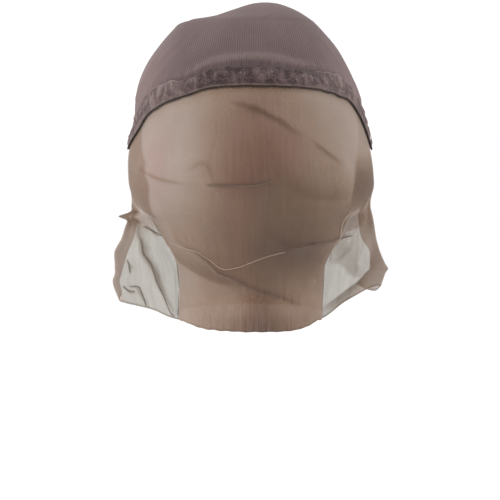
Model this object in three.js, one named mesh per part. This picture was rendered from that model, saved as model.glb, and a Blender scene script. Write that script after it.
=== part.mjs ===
// A wig cap with a stretch crown and a lace perimeter, as it keeps its form when worn.
// Units are millimetres. +Z is up, +Y is the front, and +X is on the right from behind.
// The origin is the top of the space inside the crown.
import * as THREE from "three";

// Overall form
const capHeight = 223; // outside of the crown's top to the hem in the middle of the back
const halfWidth = 85; // at its widest level
const backDepth = 101; // from the middle to the back
const frontDepth = 88; // from the middle to the front

// Cloth
const crownWall = 1.2;
const laceWall = 1.0;
const bandWall = 1.6;
const gap = 0.3; // between pieces that are sewn together

// Band round the crown's edge
const bandHeight = 15;
const backEdgeDrop = 59; // from the crown's top to the band's lower edge
const sideEdgeDrop = 101;
const frontEdgeDrop = 60;
const gatherCount = 52;
const gatherDepth = 0.9;
const crownLap = 4; // how far the band covers the crown
const lipHeight = 9; // of the crown's soft lip over the band
const laceLap = 5; // how far the band covers the lace
const laceTuck = 0.5; // how far in the lace's top lies there
const bindingDiameter = 1.5;

// Lace
const sideSeamTurn = 97; // degrees from the back to the seam between the two lace panels
const looseFrom = 124; // drop at which the back panel's sides leave the form
const looseAt = 150; // drop at which they hang free
const narrowTurn = 75; // degrees of the narrow lower part, each side of the back, that it lies on
const wingShare = 0.72; // share of each half panel that lies on the form
const curlShare = 0.94; // share of each half panel up to the curl at its free side
const wingSetBack = 8; // how far the free sides hang behind the middle
const curlRadius = 3;
const frontHemDrop = 216;

// Numbers of faces
const crownTurns = 48;
const crownRows = 8;
const lipRows = 4;
const backColumns = 56;
const backRows = 24;
const frontColumns = 26;
const frontRows = 13;
const bindingTurns = 2 * gatherCount; // the same stations as the band, so the gap between them stays even
const bindingSides = 4;

// Steps
const foldEase = 0.04; // share of the back panel over which its folds fade out at the curls
const acrossStep = 0.01; // share of the back panel over which its direction is measured

// The form under the cloth, level by level from the top. drop is a share of capHeight, width and
// lean (sideways, towards +X) of halfWidth, back of backDepth and front of frontDepth.
const LEVELS = [
  { drop: 0.0, width: 0.0, back: 0.0, front: 0.0, lean: 0.115 },
  { drop: 0.006, width: 0.12, back: 0.14, front: 0.16, lean: 0.115 },
  { drop: 0.027, width: 0.275, back: 0.32, front: 0.35, lean: 0.1 },
  { drop: 0.054, width: 0.436, back: 0.47, front: 0.51, lean: 0.051 },
  { drop: 0.066, width: 0.542, back: 0.525, front: 0.56, lean: -0.017 },
  { drop: 0.088, width: 0.61, back: 0.6, front: 0.64, lean: -0.03 },
  { drop: 0.139, width: 0.725, back: 0.725, front: 0.76, lean: -0.031 },
  { drop: 0.195, width: 0.818, back: 0.82, front: 0.85, lean: -0.037 },
  { drop: 0.256, width: 0.888, back: 0.893, front: 0.92, lean: -0.033 },
  { drop: 0.318, width: 0.925, back: 0.945, front: 0.965, lean: -0.022 },
  { drop: 0.39, width: 0.945, back: 0.98, front: 0.993, lean: -0.008 },
  { drop: 0.466, width: 0.99, back: 1.0, front: 1.0, lean: -0.01 },
  { drop: 0.529, width: 1.005, back: 0.992, front: 1.0, lean: -0.002 },
  { drop: 0.587, width: 0.995, back: 0.963, front: 1.0, lean: 0.006 },
  { drop: 0.637, width: 0.925, back: 0.92, front: 0.99, lean: 0.0 },
  { drop: 0.673, width: 0.824, back: 0.882, front: 0.977, lean: 0.0 },
  { drop: 0.735, width: 0.74, back: 0.805, front: 0.943, lean: 0.0 },
  { drop: 0.793, width: 0.647, back: 0.735, front: 0.886, lean: 0.0 },
  { drop: 0.834, width: 0.61, back: 0.69, front: 0.83, lean: 0.0 },
  { drop: 0.897, width: 0.6, back: 0.655, front: 0.75, lean: 0.0 },
  { drop: 1.0, width: 0.6, back: 0.61, front: 0.66, lean: 0.0 },
];

// How far down the band's lower edge lies, from 0 at the middle of the back or front to 1 at the
// sides. side is the sine of the turn from the back.
const EDGE = [
  { side: 0.0, left: 0.0, right: 0.0 },
  { side: 0.3, left: 0.03, right: 0.01 },
  { side: 0.5, left: 0.14, right: 0.03 },
  { side: 0.65, left: 0.225, right: 0.07 },
  { side: 0.78, left: 0.35, right: 0.15 },
  { side: 0.87, left: 0.49, right: 0.24 },
  { side: 0.96, left: 0.79, right: 0.6 },
  { side: 1.0, left: 1.0, right: 1.0 },
];

// How far the back panel's free sides stand out at each level: drop as a share of capHeight,
// the reaches of halfWidth, and the curls (the part that turns back on itself) of halfWidth.
const WINGS = [
  { drop: 0.56, leftReach: 1.01, rightReach: 1.02, leftCurl: 0.0, rightCurl: 0.0 },
  { drop: 0.63, leftReach: 1.0, rightReach: 1.0, leftCurl: 0.03, rightCurl: 0.06 },
  { drop: 0.65, leftReach: 1.0, rightReach: 1.0, leftCurl: 0.04, rightCurl: 0.07 },
  { drop: 0.665, leftReach: 1.09, rightReach: 1.0, leftCurl: 0.05, rightCurl: 0.085 },
  { drop: 0.678, leftReach: 1.02, rightReach: 1.005, leftCurl: 0.05, rightCurl: 0.085 },
  { drop: 0.7, leftReach: 1.035, rightReach: 1.015, leftCurl: 0.055, rightCurl: 0.09 },
  { drop: 0.735, leftReach: 1.065, rightReach: 1.03, leftCurl: 0.065, rightCurl: 0.085 },
  { drop: 0.775, leftReach: 1.12, rightReach: 1.06, leftCurl: 0.075, rightCurl: 0.05 },
  { drop: 0.845, leftReach: 1.12, rightReach: 1.11, leftCurl: 0.02, rightCurl: 0.13 },
  { drop: 0.885, leftReach: 1.13, rightReach: 1.07, leftCurl: 0.02, rightCurl: 0.17 },
  { drop: 1.0, leftReach: 1.0, rightReach: 0.95, leftCurl: 0.02, rightCurl: 0.2 },
];

// The back panel's hem from its middle (across 0) to its free sides (across 1).
// The drops are shares of capHeight.
const HEM = [
  { across: 0.0, left: 1.0, right: 1.0 },
  { across: 0.35, left: 0.997, right: 1.0 },
  { across: 0.6, left: 0.985, right: 0.982 },
  { across: 0.72, left: 0.985, right: 0.98 },
  { across: 0.82, left: 0.958, right: 0.93 },
  { across: 0.94, left: 0.935, right: 0.882 },
  { across: 0.97, left: 0.915, right: 0.9 },
  { across: 1.0, left: 0.9, right: 0.88 },
];

// Folds in the crown. turn is degrees from the back towards +X, drop a share of capHeight, and
// rise (out of the cloth) and spread (to each side) are shares of bandHeight.
const CROWN_FOLDS = [
  { fromTurn: -100, fromDrop: 0.075, toTurn: -60, toDrop: 0.06, rise: 0.03, spread: 0.2 },
  { fromTurn: -60, fromDrop: 0.06, toTurn: 10, toDrop: 0.055, rise: 0.05, spread: 0.2 },
  { fromTurn: -66, fromDrop: 0.2, toTurn: -76, toDrop: 0.3, rise: 0.09, spread: 0.3 },
  { fromTurn: 72, fromDrop: 0.2, toTurn: 80, toDrop: 0.3, rise: 0.07, spread: 0.3 },
];

// The soft lip in which the crown hangs over the back of the band. above is how far its ridge
// lies above the band, and rise how far it stands out, as shares of lipHeight.
const LIP = [
  { turn: -36, above: 0.1, rise: 0.0 },
  { turn: -20, above: 0.45, rise: 0.22 },
  { turn: 0, above: 0.7, rise: 0.26 },
  { turn: 14, above: 0.7, rise: 0.26 },
  { turn: 30, above: 0.4, rise: 0.22 },
  { turn: 44, above: 0.1, rise: 0.0 },
];

// Folds in the back panel. across runs from -1 at the left free side to 1 at the right one,
// drop is a share of capHeight, and rise and spread are shares of bandHeight.
const BACK_FOLDS = [
  { fromAcross: -0.1, fromDrop: 0.315, toAcross: 0.01, toDrop: 0.33, rise: 0.17, spread: 0.34 },
  { fromAcross: 0.01, fromDrop: 0.33, toAcross: 0.24, toDrop: 0.412, rise: 0.17, spread: 0.34 },
  { fromAcross: 0.32, fromDrop: 0.436, toAcross: 0.45, toDrop: 0.495, rise: 0.13, spread: 0.34 },
  { fromAcross: -0.6, fromDrop: 0.515, toAcross: -0.31, toDrop: 0.55, rise: 0.14, spread: 0.34 },
  { fromAcross: -0.27, fromDrop: 0.495, toAcross: -0.16, toDrop: 0.545, rise: 0.13, spread: 0.34 },
  { fromAcross: -0.15, fromDrop: 0.55, toAcross: 0.11, toDrop: 0.55, rise: 0.15, spread: 0.34 },
  { fromAcross: -0.46, fromDrop: 0.722, toAcross: -0.2, toDrop: 0.805, rise: 0.18, spread: 0.34 },
  { fromAcross: -0.2, fromDrop: 0.805, toAcross: 0.16, toDrop: 0.885, rise: 0.18, spread: 0.34 },
  { fromAcross: 0.1, fromDrop: 0.705, toAcross: 0.25, toDrop: 0.738, rise: 0.12, spread: 0.34 },
  { fromAcross: 0.25, fromDrop: 0.738, toAcross: 0.7, toDrop: 0.715, rise: 0.12, spread: 0.34 },
  { fromAcross: -0.93, fromDrop: 0.64, toAcross: -0.82, toDrop: 0.77, rise: 0.18, spread: 0.3 },
  { fromAcross: -0.82, fromDrop: 0.77, toAcross: -0.745, toDrop: 0.96, rise: 0.18, spread: 0.3 },
  { fromAcross: 0.84, fromDrop: 0.67, toAcross: 0.88, toDrop: 0.82, rise: 0.14, spread: 0.3 },
];

const { lerp, smoothstep, degToRad, clamp } = THREE.MathUtils;

// The value of one column at a place along a table, by a smooth curve through its rows.
function column(table, name, place) {
  const at = clamp(place, 0, table.length - 1);
  const i = Math.min(Math.floor(at), table.length - 2);
  const t = at - i;
  const row = (k) => table[clamp(k, 0, table.length - 1)][name];
  const inSlope = (row(i + 1) - row(i - 1)) / 2;
  const outSlope = (row(i + 2) - row(i)) / 2;
  const t2 = t * t;
  const t3 = t2 * t;
  return (
    (2 * t3 - 3 * t2 + 1) * row(i) +
    (t3 - 2 * t2 + t) * inSlope +
    (3 * t2 - 2 * t3) * row(i + 1) +
    (t3 - t2) * outSlope
  );
}

// The place along a table where a growing column reaches a value.
function placeOf(table, name, value) {
  let low = 0;
  let high = table.length - 1;
  for (let step = 0; step < 40; step += 1) {
    const middle = (low + high) / 2;
    if (column(table, name, middle) < value) low = middle;
    else high = middle;
  }
  return (low + high) / 2;
}

// A point of the form under the cloth, at a place along LEVELS.
function formPoint(turn, place) {
  const angle = degToRad(turn);
  const depth =
    Math.cos(angle) >= 0
      ? backDepth * column(LEVELS, "back", place)
      : frontDepth * column(LEVELS, "front", place);
  return new THREE.Vector3(
    halfWidth * (column(LEVELS, "lean", place) + column(LEVELS, "width", place) * Math.sin(angle)),
    -depth * Math.cos(angle),
    crownWall - capHeight * column(LEVELS, "drop", place),
  );
}

function formAt(turn, drop) {
  return formPoint(turn, placeOf(LEVELS, "drop", drop / capHeight));
}

// The direction out of the form at a turn and drop.
function outwards(turn, drop) {
  const turnStep = 1;
  const dropStep = 1;
  const along = formAt(turn + turnStep, drop).sub(formAt(turn - turnStep, drop));
  const down = formAt(turn, drop + dropStep).sub(formAt(turn, drop - dropStep));
  return down.cross(along).normalize();
}

// How far the band's lower edge lies below the crown's top. It is lowest at the sides.
function edgeDrop(turn) {
  const side = Math.sin(degToRad(turn));
  const place = placeOf(EDGE, "side", Math.abs(side));
  const middleDrop = Math.cos(degToRad(turn)) >= 0 ? backEdgeDrop : frontEdgeDrop;
  return lerp(middleDrop, sideEdgeDrop, column(EDGE, side < 0 ? "left" : "right", place));
}

// The rise of all folds of a table at a point of the cloth. Both coordinates of a point or a
// fold's end are lengths on the cloth, in millimetres.
function foldRise(folds, ends, point) {
  let rise = 0;
  for (const fold of folds) {
    const [from, to] = ends(fold);
    const line = to.clone().sub(from);
    const share = clamp(point.clone().sub(from).dot(line) / line.lengthSq(), 0, 1);
    const distance = point.distanceTo(from.clone().addScaledVector(line, share));
    rise += fold.rise * bandHeight * Math.exp(-((distance / (fold.spread * bandHeight)) ** 2));
  }
  return rise;
}

// A closed mesh from points and quads, each quad seen anticlockwise from outside.
function solid(points, quads) {
  const geometry = new THREE.BufferGeometry();
  geometry.setAttribute(
    "position",
    new THREE.Float32BufferAttribute(points.flatMap((p) => p.toArray()), 3),
  );
  geometry.setIndex(quads.flatMap(([a, b, c, d]) => (c === d ? [a, b, c] : [a, b, c, a, c, d])));
  geometry.computeVertexNormals();
  return geometry;
}

// A sheet of cloth with a thickness, from a grid of points on its outside. Rows run down, and
// columns run to the right as seen from outside.
function sheetSolid(grid, wall) {
  const rows = grid.length;
  const columns = grid[0].length;
  const inner = grid.map((row, r) =>
    row.map((point, c) => {
      const down = grid[Math.min(r + 1, rows - 1)][c].clone().sub(grid[Math.max(r - 1, 0)][c]);
      const along = row[Math.min(c + 1, columns - 1)].clone().sub(row[Math.max(c - 1, 0)]);
      return point.clone().addScaledVector(down.cross(along).normalize(), -wall);
    }),
  );
  const points = [...grid.flat(), ...inner.flat()];
  const out = (r, c) => r * columns + c;
  const inside = (r, c) => rows * columns + out(r, c);
  const quads = [];
  for (let r = 0; r < rows - 1; r += 1) {
    for (let c = 0; c < columns - 1; c += 1) {
      quads.push([out(r, c), out(r + 1, c), out(r + 1, c + 1), out(r, c + 1)]);
      quads.push([inside(r, c), inside(r, c + 1), inside(r + 1, c + 1), inside(r + 1, c)]);
    }
    const last = columns - 1;
    quads.push([out(r, 0), inside(r, 0), inside(r + 1, 0), out(r + 1, 0)]);
    quads.push([out(r, last), out(r + 1, last), inside(r + 1, last), inside(r, last)]);
  }
  for (let c = 0; c < columns - 1; c += 1) {
    const last = rows - 1;
    quads.push([out(0, c), out(0, c + 1), inside(0, c + 1), inside(0, c)]);
    quads.push([out(last, c), inside(last, c), inside(last, c + 1), out(last, c + 1)]);
  }
  return solid(points, quads);
}

// A closed ring from a loop of points at each station. Stations run to the right as seen from
// outside, and each loop runs from its outer lower point inwards and up.
function ringSolid(stations) {
  const sides = stations[0].length;
  const quads = [];
  stations.forEach((_, s) => {
    const next = (s + 1) % stations.length;
    for (let k = 0; k < sides; k += 1) {
      const after = (k + 1) % sides;
      quads.push([
        s * sides + k,
        s * sides + after,
        next * sides + after,
        next * sides + k,
      ]);
    }
  });
  return solid(stations.flat(), quads);
}

// How far down a row of the crown lies. The rows are closer in the lip, and the last one is
// under the band.
function crownDrop(turn, row) {
  const bandTop = edgeDrop(turn) - bandHeight - gap;
  const lipTop = bandTop - lipHeight;
  if (row > crownRows + lipRows) return bandTop + gap + crownLap;
  if (row > crownRows) return lerp(lipTop, bandTop, (row - crownRows) / lipRows);
  const share = (row / crownRows) * placeOf(LEVELS, "drop", lipTop / capHeight);
  return capHeight * column(LEVELS, "drop", share);
}

// How far the lip stands out.
function lipRise(turn, drop) {
  const place = placeOf(LIP, "turn", turn);
  const ridge = edgeDrop(turn) - bandHeight - lipHeight * column(LIP, "above", place);
  const height = lipHeight * Math.max(column(LIP, "rise", place), 0);
  return height * Math.exp(-(((drop - ridge) / (lipHeight / 2)) ** 2));
}

// A point on the crown's outside, with its folds.
function crownPoint(turn, drop) {
  const bandTop = edgeDrop(turn) - bandHeight - gap;
  const shortTurn = turn > 180 ? turn - 360 : turn;
  const onCloth = (degrees, level) => new THREE.Vector2(halfWidth * degToRad(degrees), level);
  const rise = foldRise(
    CROWN_FOLDS,
    (fold) => [
      onCloth(fold.fromTurn, fold.fromDrop * capHeight),
      onCloth(fold.toTurn, fold.toDrop * capHeight),
    ],
    onCloth(shortTurn, drop),
  );
  const clear = 1 - smoothstep(drop, bandTop - lipHeight / 2, bandTop);
  const nearTop = smoothstep(drop, 0, lipHeight);
  const level = Math.max(drop, lipHeight / 4);
  const lift = (rise * nearTop + lipRise(shortTurn, drop)) * clear;
  return formAt(turn, drop).addScaledVector(outwards(turn, level), lift);
}

function crownGeometry() {
  const points = [];
  const quads = [];
  const rows = crownRows + lipRows + 1;
  const top = new THREE.Vector3(halfWidth * LEVELS[0].lean, 0, crownWall);
  points.push(top, top.clone().setZ(0));
  const index = (r, c, layer) => 2 + ((r - 1) * crownTurns + (c % crownTurns)) * 2 + layer;
  for (let r = 1; r <= rows; r += 1) {
    for (let c = 0; c < crownTurns; c += 1) {
      const turn = (360 * c) / crownTurns;
      const drop = crownDrop(turn, r);
      const point = crownPoint(turn, drop);
      const down = crownPoint(turn, drop + 1).sub(crownPoint(turn, drop - 1));
      const along = crownPoint(turn + 1, drop).sub(crownPoint(turn - 1, drop));
      const out = down.cross(along).normalize();
      if (r === rows) point.addScaledVector(out, -gap);
      points.push(point, point.clone().addScaledVector(out, -crownWall));
    }
  }
  for (let c = 0; c < crownTurns; c += 1) {
    quads.push([0, index(1, c, 0), index(1, c + 1, 0), index(1, c + 1, 0)]);
    quads.push([1, index(1, c + 1, 1), index(1, c, 1), index(1, c, 1)]);
    for (let r = 1; r < rows; r += 1) {
      quads.push([index(r, c, 0), index(r + 1, c, 0), index(r + 1, c + 1, 0), index(r, c + 1, 0)]);
      quads.push([index(r, c, 1), index(r, c + 1, 1), index(r + 1, c + 1, 1), index(r + 1, c, 1)]);
    }
    const last = rows;
    quads.push([index(last, c, 0), index(last, c, 1), index(last, c + 1, 1), index(last, c + 1, 0)]);
  }
  return solid(points, quads);
}

// The gathered band. Every other station stands out, which makes one gather.
function bandGeometry() {
  const stations = [];
  for (let s = 0; s < 2 * gatherCount; s += 1) {
    const turn = (180 * s) / gatherCount;
    const lower = edgeDrop(turn);
    const puff = s % 2 === 0 ? gatherDepth : 0;
    const layer = (up, out) => {
      const drop = lower - up * bandHeight;
      return formAt(turn, drop).addScaledVector(outwards(turn, drop), gap + out);
    };
    stations.push([
      layer(0, bandWall),
      layer(0, 0),
      layer(0.5, 0),
      layer(1, 0),
      layer(1, bandWall * 0.6),
      layer(0.75, bandWall + puff),
      layer(0.3, bandWall + puff),
    ]);
  }
  return ringSolid(stations);
}

// The thin cord that binds the band's lower edge.
function bindingGeometry() {
  const radius = bindingDiameter / 2;
  const stations = [];
  for (let s = 0; s < bindingTurns; s += 1) {
    const turn = (360 * s) / bindingTurns;
    const out = outwards(turn, edgeDrop(turn));
    const along = formAt(turn + 1, edgeDrop(turn + 1)).sub(formAt(turn - 1, edgeDrop(turn - 1)));
    const up = out.clone().cross(along).normalize();
    const middle = formAt(turn, edgeDrop(turn))
      .addScaledVector(up, -gap - radius)
      .addScaledVector(out, gap + radius);
    const loop = [];
    for (let k = 0; k < bindingSides; k += 1) {
      const angle = (-2 * Math.PI * k) / bindingSides;
      loop.push(
        middle
          .clone()
          .addScaledVector(out, radius * Math.cos(angle))
          .addScaledVector(up, radius * Math.sin(angle)),
      );
    }
    stations.push(loop);
  }
  return ringSolid(stations);
}

// How far down a row of a lace panel lies. The first row is under the band, and the second one
// is clear of the binding.
function laceDrop(turn, hemDrop, row, rows) {
  if (row === 0) return edgeDrop(turn) - laceLap;
  return lerp(edgeDrop(turn) + laceLap, hemDrop, (row - 1) / (rows - 1));
}

// A point of the back panel's free side, with distances from the middle of the cap.
function wingPoint(across, drop) {
  const left = across < 0;
  const sign = left ? -1 : 1;
  const place = placeOf(WINGS, "drop", drop / capHeight);
  const reach = halfWidth * column(WINGS, left ? "leftReach" : "rightReach", place);
  const curl = halfWidth * column(WINGS, left ? "leftCurl" : "rightCurl", place);
  const root = formAt(narrowTurn * sign, drop);
  const start = Math.abs(root.x);
  const tip = reach - curlRadius;
  const share = Math.abs(across);
  const bendEnd = (curlShare + 1) / 2;
  let out;
  let back;
  if (share < curlShare) {
    const t = (share - wingShare) / (curlShare - wingShare);
    out = lerp(start, tip, t);
    back = lerp(root.y, -wingSetBack, smoothstep(t, 0, 1));
  } else if (share < bendEnd) {
    const angle = (Math.PI * (share - curlShare)) / (bendEnd - curlShare);
    out = tip + curlRadius * Math.sin(angle);
    back = -wingSetBack + curlRadius * (1 - Math.cos(angle));
  } else {
    const t = (share - bendEnd) / (1 - bendEnd);
    out = tip - curl * t;
    back = -wingSetBack + 2 * curlRadius;
  }
  return new THREE.Vector3(sign * out, back, crownWall - drop);
}

// A point on the outside of the back panel, without its folds.
function backPoint(across, drop) {
  const share = Math.abs(across);
  const loose = smoothstep(drop, looseFrom, looseAt);
  const turnPerShare = lerp(sideSeamTurn, narrowTurn / wingShare, loose);
  if (share < wingShare) return formAt(turnPerShare * across, drop);
  const root = Math.sign(across) * wingShare;
  const beside = (place) => formAt(sideSeamTurn * place, drop).lerp(wingPoint(place, drop), loose);
  const step = formAt(turnPerShare * root, drop).sub(beside(root));
  const settle = 1 - smoothstep(share, wingShare, curlShare);
  return beside(across).addScaledVector(step, settle);
}

function backGeometry() {
  const grid = [];
  for (let r = 0; r <= backRows; r += 1) {
    const row = [];
    for (let c = 0; c <= backColumns; c += 1) {
      const across = -1 + (2 * c) / backColumns;
      const hemPlace = placeOf(HEM, "across", Math.abs(across));
      const hemDrop = capHeight * column(HEM, across < 0 ? "left" : "right", hemPlace);
      const turn = sideSeamTurn * across;
      const drop = laceDrop(turn, hemDrop, r, backRows);
      const rise = foldRise(
        BACK_FOLDS,
        (fold) => [
          new THREE.Vector2(fold.fromAcross * halfWidth, fold.fromDrop * capHeight),
          new THREE.Vector2(fold.toAcross * halfWidth, fold.toDrop * capHeight),
        ],
        new THREE.Vector2(across * halfWidth, drop),
      );
      const clear = smoothstep(drop, edgeDrop(turn) + laceLap, edgeDrop(turn) + 3 * laceLap);
      const flat = smoothstep(Math.abs(across), curlShare - foldEase, curlShare);
      const down = backPoint(across, drop + 1).sub(backPoint(across, drop - 1));
      const along = backPoint(Math.min(across + acrossStep, 1), drop).sub(
        backPoint(Math.max(across - acrossStep, -1), drop),
      );
      const lift = r === 0 ? -laceTuck : rise * clear * (1 - flat);
      row.push(backPoint(across, drop).addScaledVector(down.cross(along).normalize(), lift));
    }
    grid.push(row);
  }
  return sheetSolid(grid, laceWall);
}

function frontGeometry() {
  const seamGap = (gap / halfWidth) * (180 / Math.PI);
  const start = sideSeamTurn + seamGap;
  const grid = [];
  for (let r = 0; r <= frontRows; r += 1) {
    const row = [];
    for (let c = 0; c <= frontColumns; c += 1) {
      const turn = lerp(start, 360 - start, c / frontColumns);
      const drop = laceDrop(turn, frontHemDrop, r, frontRows);
      const lift = r === 0 ? -laceTuck : 0;
      row.push(formAt(turn, drop).addScaledVector(outwards(turn, drop), lift));
    }
    grid.push(row);
  }
  return sheetSolid(grid, laceWall);
}

function piece(name, geometry, color, roughness, opacity = 1) {
  const material = new THREE.MeshStandardMaterial({
    color,
    roughness,
    metalness: 0,
    opacity,
    transparent: opacity < 1,
    side: THREE.DoubleSide,
  });
  const mesh = new THREE.Mesh(geometry, material);
  mesh.name = name;
  return mesh;
}

const wigCap = new THREE.Group();
wigCap.add(
  piece("crown", crownGeometry(), "#7d6866", 0.85),
  piece("crown_band", bandGeometry(), "#5a4746", 0.9),
  piece("edge_binding", bindingGeometry(), "#2c1c19", 0.8),
  piece("back_lace", backGeometry(), "#94795f", 0.75, 0.6),
  piece("front_lace", frontGeometry(), "#94795f", 0.75, 0.6),
);

export default wigCap;
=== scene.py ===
# %% [markdown]
# This notebook dresses a wig cap: a domed crown of ribbed stretch mesh, a gathered band with a
# dark cord sewn along its edge, and sheer lace that hangs below it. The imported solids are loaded
# first. They are the fixed frame, so each piece of cloth is made straight at its real place, in
# metres, and nothing has to be fitted afterwards.

# %% Load the frame
import math

import bmesh
import bpy
import numpy as np
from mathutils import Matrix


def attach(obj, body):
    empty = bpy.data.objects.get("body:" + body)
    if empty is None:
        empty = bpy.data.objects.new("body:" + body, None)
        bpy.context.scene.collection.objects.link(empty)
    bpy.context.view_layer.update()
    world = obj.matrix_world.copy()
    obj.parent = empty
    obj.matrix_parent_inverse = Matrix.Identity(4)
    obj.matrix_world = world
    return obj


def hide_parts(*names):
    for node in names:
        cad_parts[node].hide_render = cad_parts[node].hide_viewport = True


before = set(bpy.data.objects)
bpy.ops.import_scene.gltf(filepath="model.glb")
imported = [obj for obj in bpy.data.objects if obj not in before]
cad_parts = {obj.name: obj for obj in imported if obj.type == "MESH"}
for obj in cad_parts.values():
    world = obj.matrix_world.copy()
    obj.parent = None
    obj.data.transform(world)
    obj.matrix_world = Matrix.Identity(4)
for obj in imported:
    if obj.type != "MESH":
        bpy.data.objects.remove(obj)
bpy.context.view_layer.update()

print("solids:", ", ".join(sorted(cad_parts)))

# %% [markdown]
# The cap is soft and has no straight line, but its form follows a rule: every level is an oval,
# and the ovals change smoothly from the top down. A modeller could sculpt that, but named sizes
# and short tables of levels are easier to change later. They are the ones that made the solids.
# Only the free sides and the crown's folds have a few rows more here, and at the back the band's
# top dips a little further to each side. Drops are measured down from the crown's top.

# %% Sizes of the cap
CAP_HEIGHT = 0.223
HALF_WIDTH = 0.085
BACK_DEPTH = 0.101
FRONT_DEPTH = 0.088
CROWN_WALL = 0.0012
SEWN_GAP = 0.0003
BAND_HEIGHT = 0.015
BACK_EDGE_DROP = 0.059
SIDE_EDGE_DROP = 0.101
FRONT_EDGE_DROP = 0.060
CROWN_LAP = 0.004
LIP_HEIGHT = 0.009
LACE_LAP = 0.005
CORD_DIAMETER = 0.0011
BACK_SLUMP = 0.2
SIDE_DIP = 0.12
print(f"cap {CAP_HEIGHT * 1000:.0f} mm tall and {2 * HALF_WIDTH * 1000:.0f} mm wide at its sides")


# %% Tables and the smooth curves through them
def table(names, rows):
    """Named columns from rows of numbers."""
    return dict(zip(names.split(), np.array(rows, dtype=float).T))


def smooth(columns, name, place):
    """One column at a place along the table, by a smooth curve through its rows."""
    values = columns[name]
    last = len(values) - 1
    at = np.clip(place, 0, last)
    row = np.minimum(at.astype(int), last - 1)
    t = at - row
    here = values[row]
    there = values[row + 1]
    slope_here = (there - values[np.maximum(row - 1, 0)]) / 2
    slope_there = (values[np.minimum(row + 2, last)] - here) / 2
    from_here = (2 * t**3 - 3 * t**2 + 1) * here + (t**3 - 2 * t**2 + t) * slope_here
    return from_here + (3 * t**2 - 2 * t**3) * there + (t**3 - t**2) * slope_there


def place_of(columns, by, value):
    """The place along the table where a growing column reaches a value."""
    places = np.linspace(0, len(columns[by]) - 1, 4001)
    return np.interp(value, smooth(columns, by, places), places)


def looked_up(columns, by, value, name):
    """One column where another, growing one reaches a value."""
    return smooth(columns, name, place_of(columns, by, value))


def sided(columns, by, value, name, on_left):
    """A column that has a left and a right version, for the side that each point is on."""
    left, right = (looked_up(columns, by, value, side + name) for side in ("left", "right"))
    return np.where(on_left, left, right)


def eased(value, low, high):
    """From 0 at low to 1 at high, soft at both ends."""
    t = np.clip((value - low) / (high - low), 0, 1)
    return t * t * (3 - 2 * t)


LEVELS = table("drop width back front lean", [
    (0.0, 0.0, 0.0, 0.0, 0.115),
    (0.006, 0.12, 0.14, 0.16, 0.115),
    (0.027, 0.275, 0.32, 0.35, 0.1),
    (0.054, 0.436, 0.47, 0.51, 0.051),
    (0.066, 0.542, 0.525, 0.56, -0.017),
    (0.088, 0.61, 0.6, 0.64, -0.03),
    (0.139, 0.725, 0.725, 0.76, -0.031),
    (0.195, 0.818, 0.82, 0.85, -0.037),
    (0.256, 0.888, 0.893, 0.92, -0.033),
    (0.318, 0.925, 0.945, 0.965, -0.022),
    (0.39, 0.945, 0.98, 0.993, -0.008),
    (0.466, 0.99, 1.0, 1.0, -0.01),
    (0.529, 1.005, 0.992, 1.0, -0.002),
    (0.587, 0.995, 0.963, 1.0, 0.006),
    (0.637, 0.925, 0.92, 0.99, 0.0),
    (0.673, 0.824, 0.882, 0.977, 0.0),
    (0.735, 0.74, 0.805, 0.943, 0.0),
    (0.793, 0.647, 0.735, 0.886, 0.0),
    (0.834, 0.61, 0.69, 0.83, 0.0),
    (0.897, 0.6, 0.655, 0.75, 0.0),
    (1.0, 0.6, 0.61, 0.66, 0.0),
])
EDGE = table("side left right", [
    (0.0, 0.0, 0.0),
    (0.3, 0.03, 0.01),
    (0.5, 0.14, 0.03),
    (0.65, 0.225, 0.07),
    (0.78, 0.35, 0.15),
    (0.87, 0.49, 0.24),
    (0.96, 0.79, 0.6),
    (1.0, 1.0, 1.0),
])
print("levels in the form:", len(LEVELS["drop"]))


# %% The form as a function
def form_at(turn, drop):
    """A point of the form. turn is degrees from the back towards +X."""
    turn, drop = np.broadcast_arrays(np.asarray(turn, float), np.asarray(drop, float))
    place = place_of(LEVELS, "drop", drop / CAP_HEIGHT)
    angle = np.radians(turn)
    back = BACK_DEPTH * smooth(LEVELS, "back", place)
    front = FRONT_DEPTH * smooth(LEVELS, "front", place)
    depth = np.where(np.cos(angle) >= 0, back, front)
    side = smooth(LEVELS, "lean", place) + smooth(LEVELS, "width", place) * np.sin(angle)
    return np.stack([HALF_WIDTH * side, -depth * np.cos(angle), CROWN_WALL - drop], axis=-1)


def unit(vectors):
    return vectors / np.maximum(np.linalg.norm(vectors, axis=-1, keepdims=True), 1e-12)


def outwards(surface, first, second, first_step, second_step):
    """The direction out of any surface(first, second) where second grows downwards."""
    along = surface(first + first_step, second) - surface(first - first_step, second)
    down = surface(first, second + second_step) - surface(first, second - second_step)
    return unit(np.cross(down, along))


def edge_drop(turn):
    """How far the band's lower edge lies below the top. It is lowest at the sides."""
    side = np.sin(np.radians(turn))
    share = sided(EDGE, "side", np.abs(side), "", side < 0)
    middle = np.where(np.cos(np.radians(turn)) >= 0, BACK_EDGE_DROP, FRONT_EDGE_DROP)
    return middle + (SIDE_EDGE_DROP - middle) * share


def band_height(turn):
    """How much of the band is free. At the back the crown's lip presses its top down."""
    from_back = np.abs((turn + 180) % 360 - 180)
    dip = SIDE_DIP * np.exp(-(((from_back - 33) / 13) ** 2))
    return BAND_HEIGHT * (1 - BACK_SLUMP * (1 - eased(from_back, 25, 55)) - dip)


def ripple(turn, slowest, quickest, seed):
    """An irregular wave round the cap, about -1 to 1, that closes on itself."""
    chance = np.random.default_rng(seed)
    wave = np.zeros_like(turn)
    for count in range(slowest, quickest + 1):
        size = chance.normal()
        wave += size * np.sin(np.radians(turn) * count + chance.uniform(0, 2 * np.pi))
    return wave / math.sqrt(quickest - slowest + 1)


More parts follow.
